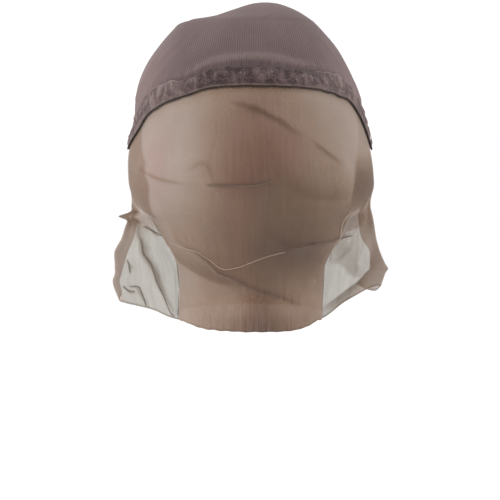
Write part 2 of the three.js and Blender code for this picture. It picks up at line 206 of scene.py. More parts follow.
ring = form_at(np.arange(0, 360, 1.0), edge_drop(np.arange(0, 360, 1.0)))
ring_length = np.linalg.norm(np.roll(ring, -1, axis=0) - ring, axis=-1).sum()
print(f"the band's edge is {ring_length * 100:.1f} cm round")

# %% [markdown]
# Cloth is thin but not infinitely thin, and a model that is going to be looked at from all sides
# needs an inside too. A Solidify modifier could give it one. Here a small helper does the same
# straight from a grid of points: it sets a second layer a wall further in and joins the rims, so
# every sheet is closed. It also lays the cloth's flat pattern down as a UV map in metres, which
# is what ribs and threads follow later.


# %% Helper for a closed sheet of cloth
def quad_corners(rows, spans, wraps, pole):
    """Row, column and layer of each corner of each face of a closed sheet."""
    r, c = (a.ravel() for a in np.meshgrid(np.arange(rows - 1), np.arange(spans), indexing="ij"))
    zero, one = np.zeros_like(r), np.ones_like(r)
    groups = [([r, r + 1, r + 1, r], [c, c, c + 1, c + 1], [zero] * 4)]
    groups.append(([r, r, r + 1, r + 1], [c, c + 1, c + 1, c], [one] * 4))
    c = np.arange(spans)
    zero, one, last = np.zeros_like(c), np.ones_like(c), np.full_like(c, rows - 1)
    groups.append(([last] * 4, [c, c, c + 1, c + 1], [zero, one, one, zero]))
    if not pole:
        groups.append(([zero] * 4, [c, c + 1, c + 1, c], [zero, zero, one, one]))
    if not wraps:
        r = np.arange(rows - 1)
        zero, one, last = np.zeros_like(r), np.ones_like(r), np.full_like(r, spans)
        groups.append(([r, r, r + 1, r + 1], [zero] * 4, [zero, one, one, zero]))
        groups.append(([r, r + 1, r + 1, r], [last] * 4, [zero, zero, one, one]))
    return [np.concatenate([np.stack(g[k], axis=-1) for g in groups]) for k in range(3)]


def linked(name, data):
    """A new object in the scene."""
    made = bpy.data.objects.new(name, data)
    bpy.context.scene.collection.objects.link(made)
    return made


def object_from(name, points, faces, corner_uv=None, amounts=None):
    """A linked object from arrays, with a UV map and point attributes, shaded smooth."""
    mesh = bpy.data.meshes.new(name)
    mesh.from_pydata(points.tolist(), [], faces.tolist())
    if corner_uv is not None:
        mesh.uv_layers.new(name="Cloth").data.foreach_set("uv", corner_uv.astype(np.float32).ravel())
    for title, values in (amounts or {}).items():
        kind, field = ("FLOAT_VECTOR", "vector") if values.ndim == 2 else ("FLOAT", "value")
        mesh.attributes.new(title, kind, "POINT").data.foreach_set(field, values.astype(np.float32).ravel())
    mesh.shade_smooth()
    return linked(name, mesh)


def cloth(name, outside, wall, flat, wraps=False, pole=False, **amounts):
    """A closed sheet. Rows run down the cap, columns to the right as seen from behind."""
    rows, columns = outside.shape[:2]
    down = np.gradient(outside, axis=0)
    along = np.roll(outside, -1, 1) - np.roll(outside, 1, 1) if wraps else np.gradient(outside, axis=1)
    out = unit(np.cross(down, along))
    if pole:
        out[0] = (0, 0, 1)
    points = np.concatenate([outside.reshape(-1, 3), (outside - wall * out).reshape(-1, 3)])
    r, c, layer = quad_corners(rows, columns if wraps else columns - 1, wraps, pole)
    faces = layer * rows * columns + r * columns + c % columns
    both = {title: np.tile(values.ravel(), 2) for title, values in amounts.items()}
    made = object_from(name, points, faces, flat[r, c], both)
    if pole:
        shape = bmesh.new()
        shape.from_mesh(made.data)
        bmesh.ops.remove_doubles(shape, verts=shape.verts, dist=1e-6)
        shape.to_mesh(made.data)
        shape.free()
    print(f"{name}: {len(made.data.polygons)} faces")
    return made


# %% [markdown]
# Materials are built from nodes. Written out in full, one node takes four lines, so a few small
# helpers keep the recipes short enough to read: one adds a node and connects its inputs, and the
# others stand for the sums, mixes and noises that every recipe needs.


# %% Helpers for nodes
def add(tree, kind, inputs=None, **settings):
    """A new node. inputs are values or other nodes' outputs, by socket name or number."""
    made = tree.nodes.new(kind)
    for setting, value in settings.items():
        setattr(made, setting, value)
    for key, value in (inputs or {}).items():
        if isinstance(value, bpy.types.NodeSocket):
            tree.links.new(value, made.inputs[key])
        else:
            made.inputs[key].default_value = value
    return made


def first(tree, kind, inputs=None, **settings):
    """The first output of a new node."""
    return add(tree, kind, inputs, **settings).outputs[0]


def calc(tree, operation, *values):
    return first(tree, "ShaderNodeMath", dict(enumerate(values)), operation=operation)


def times(tree, value, factor):
    return calc(tree, "MULTIPLY", value, factor)


def ranged(tree, value, low, high, to_low=0.0, to_high=1.0):
    inputs = {0: value, 1: low, 2: high, 3: to_low, 4: to_high}
    return first(tree, "ShaderNodeMapRange", inputs)


def mixed(tree, share, first, second, blend="MIX"):
    inputs = {0: share, 6: first, 7: second}
    return add(tree, "ShaderNodeMix", inputs, data_type="RGBA", blend_type=blend).outputs[2]


def noise(tree, place, size, detail=2.0):
    """Noise with lumps of about size metres."""
    inputs = {"Vector": place, "Scale": 1 / size, "Detail": detail}
    return first(tree, "ShaderNodeTexNoise", inputs)


def mottled(tree, place, size, detail=2.0):
    """The same noise, spread to run from 0 to 1."""
    return ranged(tree, noise(tree, place, size, detail), 0.3, 0.7)


def scaled(tree, place, factors):
    inputs = {0: place, 1: factors}
    return first(tree, "ShaderNodeVectorMath", inputs, operation="MULTIPLY")


def amount(tree, name):
    return add(tree, "ShaderNodeAttribute", attribute_name=name).outputs["Fac"]


def waves(tree, coordinate, pitch):
    """From 0 to 1 and back over each pitch."""
    turns = times(tree, coordinate, 2 * math.pi / pitch)
    return ranged(tree, calc(tree, "SINE", turns), -1.0, 1.0)


def coated(tree, base, coats):
    """Colours laid over a base in turn. A share is an output or the name of an attribute."""
    for share, strength, colour in coats:
        share = amount(tree, share) if isinstance(share, str) else share
        base = mixed(tree, times(tree, share, strength), base, (*colour, 1))
    return base


def dressed(tree, shader, base, relief, depth):
    """Give the shader its colour and its bump."""
    tree.links.new(base, shader.inputs["Base Color"])
    inputs = {"Height": relief, "Distance": depth, "Strength": 1.0}
    tree.links.new(first(tree, "ShaderNodeBump", inputs), shader.inputs["Normal"])


def new_material(name, roughness, sheen=0.0, tint=(1, 1, 1)):
    """A material with its tree, its shader, the object's coordinates and the cloth's flat map."""
    material = bpy.data.materials.new(name)
    material.use_nodes = True
    tree = material.node_tree
    shader = tree.nodes["Principled BSDF"]
    shader.inputs["Roughness"].default_value = roughness
    shader.inputs["Specular IOR Level"].default_value = 0.25
    shader.inputs["Sheen Weight"].default_value = sheen
    shader.inputs["Sheen Roughness"].default_value = 0.45
    shader.inputs["Sheen Tint"].default_value = (*tint, 1)
    solid_place = add(tree, "ShaderNodeTexCoord").outputs["Object"]
    flat_place = first(tree, "ShaderNodeUVMap", uv_map="Cloth")
    return material, tree, shader, solid_place, flat_place


def simple_material(name, roughness, sheen, lumps, dark, light, depth=0.0):
    """A material that wavers between two colours."""
    material, tree, shader, solid_place, _ = new_material(name, roughness, sheen)
    patches = mottled(tree, solid_place, lumps)
    base = mixed(tree, patches, (*dark, 1), (*light, 1))
    if depth:
        dressed(tree, shader, base, patches, depth)
    else:
        tree.links.new(base, shader.inputs["Base Color"])
    return material


print("helpers ready")

# %% [markdown]
# Geometry Nodes make what repeats or follows a path. These helpers build an empty tree with named
# inputs, run it on a starting mesh and keep the result as a plain mesh, so nothing live is left.


# %% Helpers for geometry nodes
def geometry_tree(name, inputs):
    """An empty tree with a geometry input, the named inputs and a geometry output."""
    tree = bpy.data.node_groups.new(name, "GeometryNodeTree")
    tree.interface.new_socket("Geometry", in_out="INPUT", socket_type="NodeSocketGeometry")
    for title, kind in inputs.items():
        tree.interface.new_socket(title, in_out="INPUT", socket_type="NodeSocket" + kind)
    tree.interface.new_socket("Geometry", in_out="OUTPUT", socket_type="NodeSocketGeometry")
    return tree, tree.nodes.new("NodeGroupInput").outputs


def resampled(tree, path, step):
    """The same curve with points a step apart."""
    return first(tree, "GeometryNodeResampleCurve", {"Curve": path, "Length": step}, mode="LENGTH")


def end_tree(tree, geometry, material):
    """The tree's end: instances made real, then the material."""
    real = first(tree, "GeometryNodeRealizeInstances", {0: geometry})
    finished = first(tree, "GeometryNodeSetMaterial", {"Geometry": real, "Material": material})
    add(tree, "NodeGroupOutput", {0: finished})


def grown(name, start, tree, values):
    """The plain mesh that a tree makes from an object, as an object of its own."""
    modifier = start.modifiers.new("Grow", "NODES")
    modifier.node_group = tree
    for item in tree.interface.items_tree:
        if item.in_out == "INPUT" and item.name in values:
            modifier[item.identifier] = values[item.name]
    bpy.context.view_layer.update()
    sight = bpy.context.evaluated_depsgraph_get()
    mesh = bpy.data.meshes.new_from_object(start.evaluated_get(sight), depsgraph=sight)
    start.modifiers.remove(modifier)
    bpy.data.objects.remove(start)
    mesh.name = name
    mesh.shade_smooth()
    print(f"{name}: {len(mesh.polygons)} faces")
    return linked(name, mesh)


def path_object(name, points, out, closed):
    """A line of edges for a tree to follow, which knows the way out of the cloth."""
    mesh = bpy.data.meshes.new(name)
    count = len(points)
    edges = [(k, (k + 1) % count) for k in range(count if closed else count - 1)]
    mesh.from_pydata(points.tolist(), edges, [])
    layer = mesh.attributes.new("out", "FLOAT_VECTOR", "POINT")
    layer.data.foreach_set("vector", out.astype(np.float32).ravel())
    return linked(name, mesh)


print("trees end in Realize Instances and Set Material")

# %% [markdown]
# The crown is a piece of fine stretch mesh, pulled over a round form. It has a soft lip where it
# hangs over the band at the back, a few long soft folds, and small puckers where the band holds
# it. It could be a sculpted dome. Here the form's own rule gives the dome, and lip, folds and
# puckers are added along its normals, so they stay the right size in millimetres.

# %% Folds and lip of the crown
CROWN_FOLDS = table("from_side from_drop to_side to_drop rise spread", [
    (-100, 0.075, -60, 0.06, 0.03, 0.2),
    (-60, 0.06, 10, 0.055, 0.05, 0.2),
    (-66, 0.2, -76, 0.3, 0.09, 0.3),
    (72, 0.2, 80, 0.3, 0.07, 0.3),
    (-50, 0.13, -70, 0.27, 0.035, 0.25),
    (-38, 0.12, -56, 0.25, 0.025, 0.2),
    (58, 0.12, 70, 0.24, 0.03, 0.22),
])
LIP = table("turn above rise", [
    (-50, 0.3, 0.0),
    (-36, 0.35, 0.1),
    (-20, 0.5, 0.24),
    (0, 0.55, 0.28),
    (14, 0.55, 0.28),
    (30, 0.45, 0.22),
    (44, 0.35, 0.08),
    (56, 0.3, 0.0),
])
LIP_REACH = 0.0026
PUCKER_DEPTH = 0.0003
PUCKER_REACH = 0.011


def along_line(across, down, start, end):
    """Distance to a straight line between two places on the cloth, and the share along it."""
    line = np.array(end) - np.array(start)
    share = ((across - start[0]) * line[0] + (down - start[1]) * line[1]) / (line @ line)
    share = np.clip(share, 0, 1)
    return np.hypot(across - start[0] - share * line[0], down - start[1] - share * line[1]), share


def folded(folds, across, drop, scale):
    """The rise of soft straight folds. scale turns the table's places across into metres."""
    rise = 0
    for k in range(len(folds["rise"])):
        fold = {name: values[k] for name, values in folds.items()}
        start = (fold["from_side"] * scale, fold["from_drop"] * CAP_HEIGHT)
        end = (fold["to_side"] * scale, fold["to_drop"] * CAP_HEIGHT)
        distance, _ = along_line(across * scale, drop, start, end)
        spread = fold["spread"] * BAND_HEIGHT
        rise = rise + fold["rise"] * BAND_HEIGHT * np.exp(-((distance / spread) ** 2))
    return rise


def crown_lift(turn, drop):
    """How far the crown's outside stands out of the form."""
    short_turn = (turn + 180) % 360 - 180
    band_top = edge_drop(turn) - band_height(turn) - SEWN_GAP
    rise = folded(CROWN_FOLDS, short_turn, drop, HALF_WIDTH * math.radians(1))
    ridge = band_top - LIP_HEIGHT * looked_up(LIP, "turn", short_turn, "above")
    lip = LIP_HEIGHT * np.maximum(looked_up(LIP, "turn", short_turn, "rise"), 0)
    reach = np.where(drop < ridge, LIP_HEIGHT / 2, LIP_REACH)
    lip = lip * np.exp(-(((drop - ridge) / reach) ** 2))
    puckers = PUCKER_DEPTH * ripple(turn, 40, 110, seed=3) * eased(drop, band_top - PUCKER_REACH, band_top)
    clear = 1 - eased(drop, band_top - LIP_HEIGHT / 2, band_top)
    near_top = eased(drop, 0, LIP_HEIGHT)
    hanging = lip * (1 - eased(drop, band_top - SEWN_GAP, band_top + SEWN_GAP))
    return rise * near_top * clear + hanging + puckers * (1 - eased(drop, band_top, band_top + SEWN_GAP))


# %% The crown's mesh
CROWN_TURNS = 300
CROWN_ROWS = 58
LIP_ROWS = 24
LAP_ROWS = 3
CROWN_CLOTH = 0.0007
RIB_FAN = 0.35
RIB_ARC = 0.094


def crown_drops(turn):
    """The drops of all rows at a turn: over the dome, through the lip, under the band."""
    band_top = edge_drop(turn) - band_height(turn) - SEWN_GAP
    lip_top = band_top - LIP_HEIGHT
    share = np.linspace(0, 1, CROWN_ROWS + 1)[:, None]
    dome = CAP_HEIGHT * smooth(LEVELS, "drop", share * place_of(LEVELS, "drop", lip_top / CAP_HEIGHT))
    lip = lip_top + (band_top - lip_top) * np.linspace(0, 1, LIP_ROWS + 1)[1:, None]
    lap = band_top + SEWN_GAP + CROWN_LAP * np.linspace(0.2, 1, LAP_ROWS)[:, None]
    return np.concatenate([dome, lip, lap])


turns = np.arange(CROWN_TURNS) * 360 / CROWN_TURNS
drops = crown_drops(turns)
turn_grid = np.broadcast_to(turns, drops.shape)
tucked = np.zeros_like(drops)
tucked[-LAP_ROWS:] = -SEWN_GAP
out = outwards(form_at, turn_grid, np.maximum(drops, LIP_HEIGHT / 4), 1.0, 0.001)
crown_points = form_at(turn_grid, drops) + (crown_lift(turn_grid, drops) + tucked)[..., None] * out
height_share = np.clip(-crown_points[..., 2] / BACK_EDGE_DROP, 0, 1)
fan = 1 - RIB_FAN * (1 - height_share)
sideways = np.clip(crown_points[..., 0] / (RIB_ARC * fan), -0.985, 0.985)
rib_place = RIB_ARC * np.arcsin(sideways)
course_place = RIB_ARC * np.arctan2(-crown_points[..., 1], crown_points[..., 2] + 1.3 * RIB_ARC)
crown_flat = np.stack([rib_place, course_place], axis=-1)
crown_flat = np.concatenate([crown_flat, crown_flat[:, :1]], axis=1)
band_top = edge_drop(turn_grid) - band_height(turn_grid)
from_back = np.abs((turn_grid + 180) % 360 - 180)
under_crest = 1 - eased(np.abs((turn_grid + 179) % 360 - 180), 6, 16)
# Painted shade where the crown meets the band, deepest under the top of the lip in the back's middle.
hold = eased(drops, band_top - 0.4 * LIP_HEIGHT, band_top) * (0.3 + 0.7 * under_crest)
hold = np.maximum(hold, 0.75 * under_crest * eased(drops, band_top - 0.0055, band_top - 0.003))
side_share = np.abs(crown_points[..., 0]) / HALF_WIDTH
ribbed = eased(drops / CAP_HEIGHT, 0.03, 0.11) * (1 - 0.85 * eased(side_share, 0.5, 0.8))
# A painted highlight along the top of the lip.
crest = np.exp(-((crown_lift(turn_grid, drops) / (0.2 * LIP_HEIGHT) - 1.2) ** 2) * 4)
# Painted shade on the crown just above the lip at the back.
above_lip = eased(drops, band_top - 0.030, band_top - 0.008) * (1 - eased(from_back, 35, 65))
# Painted light: the crown gets lighter towards its sides, as light falls there.
crown_mesh = cloth(
    "crown_mesh", crown_points, CROWN_CLOTH, crown_flat, True, True,
    hold=hold, ribbed=ribbed, crest=crest, above_lip=above_lip, beside=eased(side_share, 0.45, 0.95),
)

# %% [markdown]
# Stretch mesh is knitted in fine ribs about two millimetres apart, which run over the top from back to front
# and fan out a little. Modelled as geometry they would cost a million faces. They are far below a millimetre
# deep, so colour and bump from the cloth's flat map do the work: one wave across for the ribs, a quicker one
# along for the stitches in each rib, and slow noise for the uneven stretch. A little sheen lightens the
# edges, as short fibres do. On top, light and shade are painted into the colour: painted light makes the
# crown lighter towards its sides, painted shade darkens it just above the lip and where it meets the band,
# and a painted highlight runs along the top of the lip.

# %% Crown material
RIB_PITCH = 0.0018
COURSE_PITCH = 0.0013
RIB_WANDER = 0.0020
PLAIN_KNIT = 0.44
crown_material, tree, shader, solid_place, flat_place = new_material(
    "Ribbed stretch mesh", 0.85, 0.08, (0.85, 0.78, 0.76)
)
parts = add(tree, "ShaderNodeSeparateXYZ", {0: flat_place}).outputs
across = calc(tree, "MULTIPLY_ADD", noise(tree, solid_place, 0.012), RIB_WANDER, parts[0])
courses = calc(tree, "MULTIPLY_ADD", waves(tree, parts[1], COURSE_PITCH), 0.2, 0.8)
knit = times(tree, waves(tree, across, RIB_PITCH), courses)
inputs = {0: amount(tree, "ribbed"), 2: PLAIN_KNIT, 3: knit}
knit = first(tree, "ShaderNodeMix", inputs, data_type="FLOAT")
fuzz = mottled(tree, solid_place, 0.0012)
uneven = mottled(tree, solid_place, 0.03)
base = mixed(tree, uneven, (0.094, 0.062, 0.061, 1), (0.128, 0.087, 0.086, 1))
base = coated(tree, base, [
    (knit, 0.66, (0.19, 0.135, 0.132)),
    (fuzz, 0.16, (0.07, 0.05, 0.052)),
    ("beside", 0.4, (0.23, 0.165, 0.160)),
    ("above_lip", 0.34, (0.062, 0.041, 0.041)),
    ("crest", 0.26, (0.25, 0.19, 0.18)),
    ("hold", 0.6, (0.060, 0.038, 0.042)),
])
dressed(tree, shader, base, calc(tree, "MULTIPLY_ADD", fuzz, 0.35, knit), 0.00036)
crown_mesh.data.materials.append(crown_material)
print("ribs every", RIB_PITCH * 1000, "mm")

# %% [markdown]
# The band is a folded strip of stretch cloth with an elastic inside. It is longer than the edge
# that it is sewn to, so it stands in small uneven gathers. The plain strip is a closed ring with
# a rounded lower fold. A Geometry Nodes tree then pushes it out along its normals by two noises,
# a slow one for gathers and a quick one for wrinkles. Both read a place between the point itself
# and the strip's middle line, so a gather runs up most of the band and leans a little.

# %% The plain strip
BAND_STATIONS = 1080
BAND_PROFILE = table("up out give", [
    (-0.015, 1.1, 0.0),
    (-0.03, 0.8, 0.0),
    (-0.02, 0.4, 0.0),
    (0.0, 0.0, 0.0),
    (0.5, 0.0, 0.0),
    (1.0, 0.0, 0.0),
    (1.01, 0.3, 0.0),
    (0.985, 0.65, 0.15),
    (0.94, 0.95, 0.45),
    (0.88, 1.15, 0.75),
    (0.8, 1.3, 0.9),
    (0.72, 1.4, 1.0),
    (0.64, 1.5, 1.0),
    (0.56, 1.55, 1.0),
    (0.48, 1.6, 1.0),
    (0.4, 1.6, 1.0),
    (0.32, 1.6, 1.0),
    (0.25, 1.6, 0.95),
    (0.19, 1.55, 0.8),
    (0.14, 1.4, 0.5),
    (0.10, 1.25, 0.35),
    (0.07, 1.15, 0.25),
    (0.045, 1.3, 0.15),
    (0.02, 1.4, 0.1),
    (0.0, 1.3, 0.05),
])
sides = len(BAND_PROFILE["up"])
turns = np.arange(BAND_STATIONS)[:, None] * 360 / BAND_STATIONS
turn_grid = np.broadcast_to(turns, (BAND_STATIONS, sides))
top_edge = 1 + 0.045 * ripple(turn_grid, 8, 50, seed=21) * eased(BAND_PROFILE["up"], 0.5, 1.0)
level = edge_drop(turn_grid) - BAND_PROFILE["up"] * band_height(turn_grid) * top_edge
out = outwards(form_at, turn_grid, level, 1.0, 0.001)
strip = form_at(turn_grid, level) + (SEWN_GAP + BAND_PROFILE["out"] * 0.001)[None, :, None] * out
middle_line = form_at(turn_grid, edge_drop(turn_grid) - 0.5 * BAND_HEIGHT)
s, k = (a.ravel() for a in np.meshgrid(np.arange(BAND_STATIONS), np.arange(sides), indexing="ij"))
stations = np.stack([s, s, s + 1, s + 1], axis=-1)
loops = np.stack([k, k + 1, k + 1, k], axis=-1)
faces = (stations % BAND_STATIONS) * sides + loops % sides
band_uv = np.stack([stations * ring_length / BAND_STATIONS, loops * 0.0011], axis=-1)
from_back = np.abs((turn_grid - 3 + 180) % 360 - 180)
amounts = {
    "pressed": (1 - eased(from_back, 22, 46)).ravel(),
    "give": np.broadcast_to(BAND_PROFILE["give"], turn_grid.shape).ravel(),
    "up": np.broadcast_to(BAND_PROFILE["up"], turn_grid.shape).ravel(),
    "middle": middle_line.reshape(-1, 3),
}
plain_strip = object_from("plain_strip", strip.reshape(-1, 3), faces, band_uv, amounts)
print("strip of", len(faces), "faces")

# %% Gathers by geometry nodes
tree, given = geometry_tree(
    "Gathers",
    {"Gather Depth": "Float", "Gather Pitch": "Float", "Wrinkle Depth": "Float", "Wrinkle Pitch": "Float",
     "Seed": "Float", "Cloth": "Material"},
)
middle = first(tree, "GeometryNodeInputNamedAttribute", {0: "middle"}, data_type="FLOAT_VECTOR")
give = first(tree, "GeometryNodeInputNamedAttribute", {0: "give"}, data_type="FLOAT")
where = first(tree, "GeometryNodeInputPosition")


def lumps(place, pitch):
    """Noise from about -1 to 1 with a pitch that comes from the tree's inputs."""
    scale = calc(tree, "DIVIDE", 1.0, pitch)
    inputs = {"Vector": place, "W": given["Seed"], "Scale": scale, "Detail": 1.0}
    made = first(tree, "ShaderNodeTexNoise", inputs, noise_dimensions="4D")
    return ranged(tree, made, 0.28, 0.72, -1.0, 1.0)


def layer(own_share, name):
    """One layer of the relief. own_share says how far it follows the point, not the middle line."""
    inputs = {0: own_share, 4: middle, 5: where}
    place = add(tree, "ShaderNodeMix", inputs, data_type="VECTOR").outputs[1]
    return times(tree, lumps(place, given[name + " Pitch"]), given[name + " Depth"])


total = calc(tree, "ADD", layer(0.5, "Gather"), layer(0.8, "Wrinkle"))
pushed = times(tree, calc(tree, "MAXIMUM", total, -0.0007), give)
normal = first(tree, "GeometryNodeInputNormal")
offset = first(tree, "ShaderNodeVectorMath", {0: normal, "Scale": pushed}, operation="SCALE")
moved = first(tree, "GeometryNodeSetPosition", {"Geometry": given["Geometry"], "Offset": offset})
stored = first(
    tree,
    "GeometryNodeStoreNamedAttribute",
    {"Geometry": moved, "Name": "ridge", "Value": times(tree, total, 1000.0)},
    data_type="FLOAT",
    domain="POINT",
)
end_tree(tree, stored, given["Cloth"])

# %% [markdown]
# The band's cloth is darker than the crown's and looks flecked. Light and shade are painted into it: light
# specks are painted highlights where the net catches the light, dark pits and vertical strokes are painted
# shade between the gathers, the gathers' valleys are painted darker and their ridges lighter, and the back's
# middle under the crown's lip is painted darker and the sides lighter, with a painted shadow at the top
# under the lip. A paler line runs along the lower fold. The recipe mixes these by the strip's own
# attributes.

# %% Band material
band_material, tree, shader, solid_place, flat_place = new_material(
    "Gathered stretch cloth", 0.9, 0.25, (0.8, 0.72, 0.72)
)
WEAVE_PITCH = 0.0009
parts = add(tree, "ShaderNodeSeparateXYZ", {0: flat_place}).outputs
weave = times(tree, waves(tree, parts[0], WEAVE_PITCH), waves(tree, parts[1], WEAVE_PITCH))
patches = ranged(tree, noise(tree, solid_place, 0.008), 0.35, 0.68)
# Light specks: painted highlights where the net catches the light. They also raise the bump.
specks = ranged(tree, noise(tree, solid_place, 0.0012, 3.0), 0.56, 0.70)
specks = times(tree, specks, ranged(tree, noise(tree, solid_place, 0.009), 0.38, 0.62))
# Dark pits: painted shade in small hollows between the gathers. They also sink the bump.
pits = ranged(tree, noise(tree, solid_place, 0.0036, 3.0), 0.38, 0.50, 1.0, 0.0)
ridge = ranged(tree, amount(tree, "ridge"), -0.4, 0.6)
# Dark vertical strokes: painted shade in small creases.
upright = noise(tree, scaled(tree, flat_place, (1.0, 0.12, 1.0)), 0.0032, 2.0)
upright = ranged(tree, upright, 0.36, 0.44, 1.0, 0.0)
# 1 in the back's middle, under the crown's lip, where the band gets painted shade; the sides get painted
# light.
pressed = amount(tree, "pressed")
up = amount(tree, "up")
# Painted light on the band's sides.
at_side = calc(tree, "MULTIPLY_ADD", pressed, -0.22, 0.22)
top_line = calc(tree, "MULTIPLY_ADD", pressed, -0.3, 0.3)
top_line = times(tree, ranged(tree, up, 0.90, 0.97), top_line)
# A painted shadow at the top of the band under the crown's lip.
under_lip = times(tree, ranged(tree, up, 0.70, 0.92), pressed)
low_part = times(tree, ranged(tree, up, 0.55, 0.30), pressed)
fold_line = calc(tree, "MULTIPLY_ADD", pressed, 0.2, 0.3)
fold_line = times(tree, ranged(tree, up, 0.035, 0.06, 1.0, 0.0), fold_line)
base = mixed(tree, patches, (0.088, 0.055, 0.054, 1), (0.124, 0.083, 0.080, 1))
# Painted shade in the valleys between the gathers; the first coat below paints a highlight on their ridges.
base = mixed(tree, ridge, (0.046, 0.026, 0.027, 1), base)
base = coated(tree, base, [
    (ridge, 0.35, (0.25, 0.18, 0.17)),
    (upright, 0.3, (0.036, 0.020, 0.022)),
    (weave, 0.15, (0.15, 0.11, 0.105)),
    (pits, 0.62, (0.034, 0.019, 0.021)),
    (pressed, 0.42, (0.034, 0.018, 0.020)),
    (at_side, 1.0, (0.24, 0.18, 0.17)),
    (specks, 0.5, (0.30, 0.235, 0.22)),
    (top_line, 1.0, (0.26, 0.20, 0.185)),
    (under_lip, 0.6, (0.030, 0.017, 0.018)),
    (low_part, 0.16, (0.030, 0.017, 0.018)),
    (fold_line, 1.0, (0.18, 0.13, 0.105)),
])
relief = calc(tree, "MULTIPLY_ADD", weave, 0.5, calc(tree, "SUBTRACT", specks, pits))
dressed(tree, shader, base, relief, 0.0002)
gathered_band = grown(
    "gathered_band",
    plain_strip,
    bpy.data.node_groups["Gathers"],
    {"Gather Depth": 0.0010, "Gather Pitch": 0.0062, "Wrinkle Depth": 0.0006, "Wrinkle Pitch": 0.0026,
     "Seed": 4.0, "Cloth": band_material},
)

# %% [markdown]
# A row of zigzag stitches holds the band's elastic, a third of the way up the band. A stitch
# is a tiny rounded bar of thread that dips into the cloth at both ends. One bar is made once and
# set on points along a path, every other one turned the other way, which gives a zigzag. The path
# knows the way out of the cloth, so the bars lie flat on it.

# %% Thread material
thread_material = simple_material(
    "Sewing thread", 0.7, 0.1, 0.0006, (0.080, 0.053, 0.053), (0.16, 0.118, 0.112), 0.0001
)

# %% Stitches by geometry nodes
stitches, given = geometry_tree(
    "Stitches",
    {"Pitch": "Float", "Length": "Float", "Thickness": "Float", "Zigzag": "Float", "Thread": "Material"},
)
path = first(stitches, "GeometryNodeMeshToCurve", {0: given["Geometry"]})
spaced = resampled(stitches, path, given["Pitch"])
bar = first(stitches, "GeometryNodeMeshUVSphere", {"Segments": 6, "Rings": 5, "Radius": 0.5})
inputs = {0: given["Length"], 1: given["Thickness"], 2: given["Thickness"]}
size = first(stitches, "ShaderNodeCombineXYZ", inputs)
out_way = first(stitches, "GeometryNodeInputNamedAttribute", {0: "out"}, data_type="FLOAT_VECTOR")
tangent = first(stitches, "GeometryNodeInputTangent")
facing = first(
    stitches,
    "FunctionNodeAxesToRotation",
    {0: out_way, 1: tangent},
    primary_axis="Z",
    secondary_axis="X",
)
odd = calc(stitches, "MODULO", first(stitches, "GeometryNodeInputIndex"), 2.0)
swing = times(stitches, calc(stitches, "MULTIPLY_ADD", odd, 2.0, -1.0), given["Zigzag"])
turned_by = first(stitches, "ShaderNodeCombineXYZ", {2: swing})
turned = first(
    stitches, "FunctionNodeRotateRotation", {0: facing, 1: turned_by}, rotation_space="LOCAL"
)
placed = first(
    stitches,
    "GeometryNodeInstanceOnPoints",
    {"Points": spaced, "Instance": bar, "Rotation": turned, "Scale": size},
)
end_tree(stitches, placed, given["Thread"])


def band_path(name, up, lift):
    """A path round the band at a share of its height."""
    turn = np.arange(0, 360, 1.5)
    drop = edge_drop(turn) - up * band_height(turn)
    out = outwards(form_at, turn, drop, 1.0, 0.001)
    return path_object(name, form_at(turn, drop) + (SEWN_GAP + lift) * out, out, True)


edge_stitches = grown(
    "edge_stitches",
    band_path("edge_path", 0.3, 0.0021),
    stitches,
    {"Pitch": 0.0021, "Length": 0.0030, "Thickness": 0.0004, "Zigzag": 0.75, "Thread": thread_material},
)

# %% [markdown]
# The edge is bound with a very dark cord of two twisted plies. A modeller could wind two tubes
# round each other. It is simpler to sweep one flat oval along the edge and turn it as it goes,
# and from outside that looks the same. A whole number of turns makes the ends meet.

# %% Cord material
cord_material = simple_material(
    "Dark binding thread", 0.75, 0.15, 0.0008, (0.009, 0.0045, 0.0035), (0.036, 0.020, 0.015), 0.00012
)

# %% Twisted cord by geometry nodes
twisting, given = geometry_tree(
    "Twisted cord",
    {"Diameter": "Float", "Flatness": "Float", "Turns": "Int", "Step": "Float", "Thread": "Material"},
)
path = first(twisting, "GeometryNodeMeshToCurve", {0: given["Geometry"]})
fine = resampled(twisting, path, given["Step"])
share = first(twisting, "GeometryNodeSplineParameter")
tilt = times(twisting, times(twisting, share, given["Turns"]), 2 * math.pi)
tilted = first(twisting, "GeometryNodeSetCurveTilt", {"Curve": fine, "Tilt": tilt})
circle = first(twisting, "GeometryNodeCurvePrimitiveCircle", {"Resolution": 10, "Radius": 0.5})
narrow = times(twisting, given["Diameter"], given["Flatness"])
oval_size = first(twisting, "ShaderNodeCombineXYZ", {0: given["Diameter"], 1: narrow, 2: 1.0})
oval = first(twisting, "GeometryNodeTransform", {"Geometry": circle, "Scale": oval_size})
swept = first(twisting, "GeometryNodeCurveToMesh", {"Curve": tilted, "Profile Curve": oval})
end_tree(twisting, swept, given["Thread"])
turns = np.arange(0, 360, 1.0)
out = outwards(form_at, turns, edge_drop(turns), 1.0, 0.001)
along = form_at(turns + 1, edge_drop(turns + 1)) - form_at(turns - 1, edge_drop(turns - 1))
up = unit(np.cross(out, along))
below = SEWN_GAP + CORD_DIAMETER / 2 + 0.00025 * ripple(turns, 12, 50, seed=8)
cord_line = form_at(turns, edge_drop(turns)) - below[:, None] * up + (SEWN_GAP + 0.0008) * out
binding_cord = grown(
    "binding_cord",
    path_object("cord_path", cord_line, out, True),
    twisting,
    {"Diameter": CORD_DIAMETER, "Flatness": 0.7, "Turns": 170, "Step": 0.0004, "Thread": cord_material},
)

# %% [markdown]
# The back lace is one sheer panel. Above, it lies round the form from side to side. Lower down it
# follows the narrower part of the form in the middle, while its sides hang free, stand out and
# curl back on themselves. The same rule as for the solid gives that form, in a much finer grid.

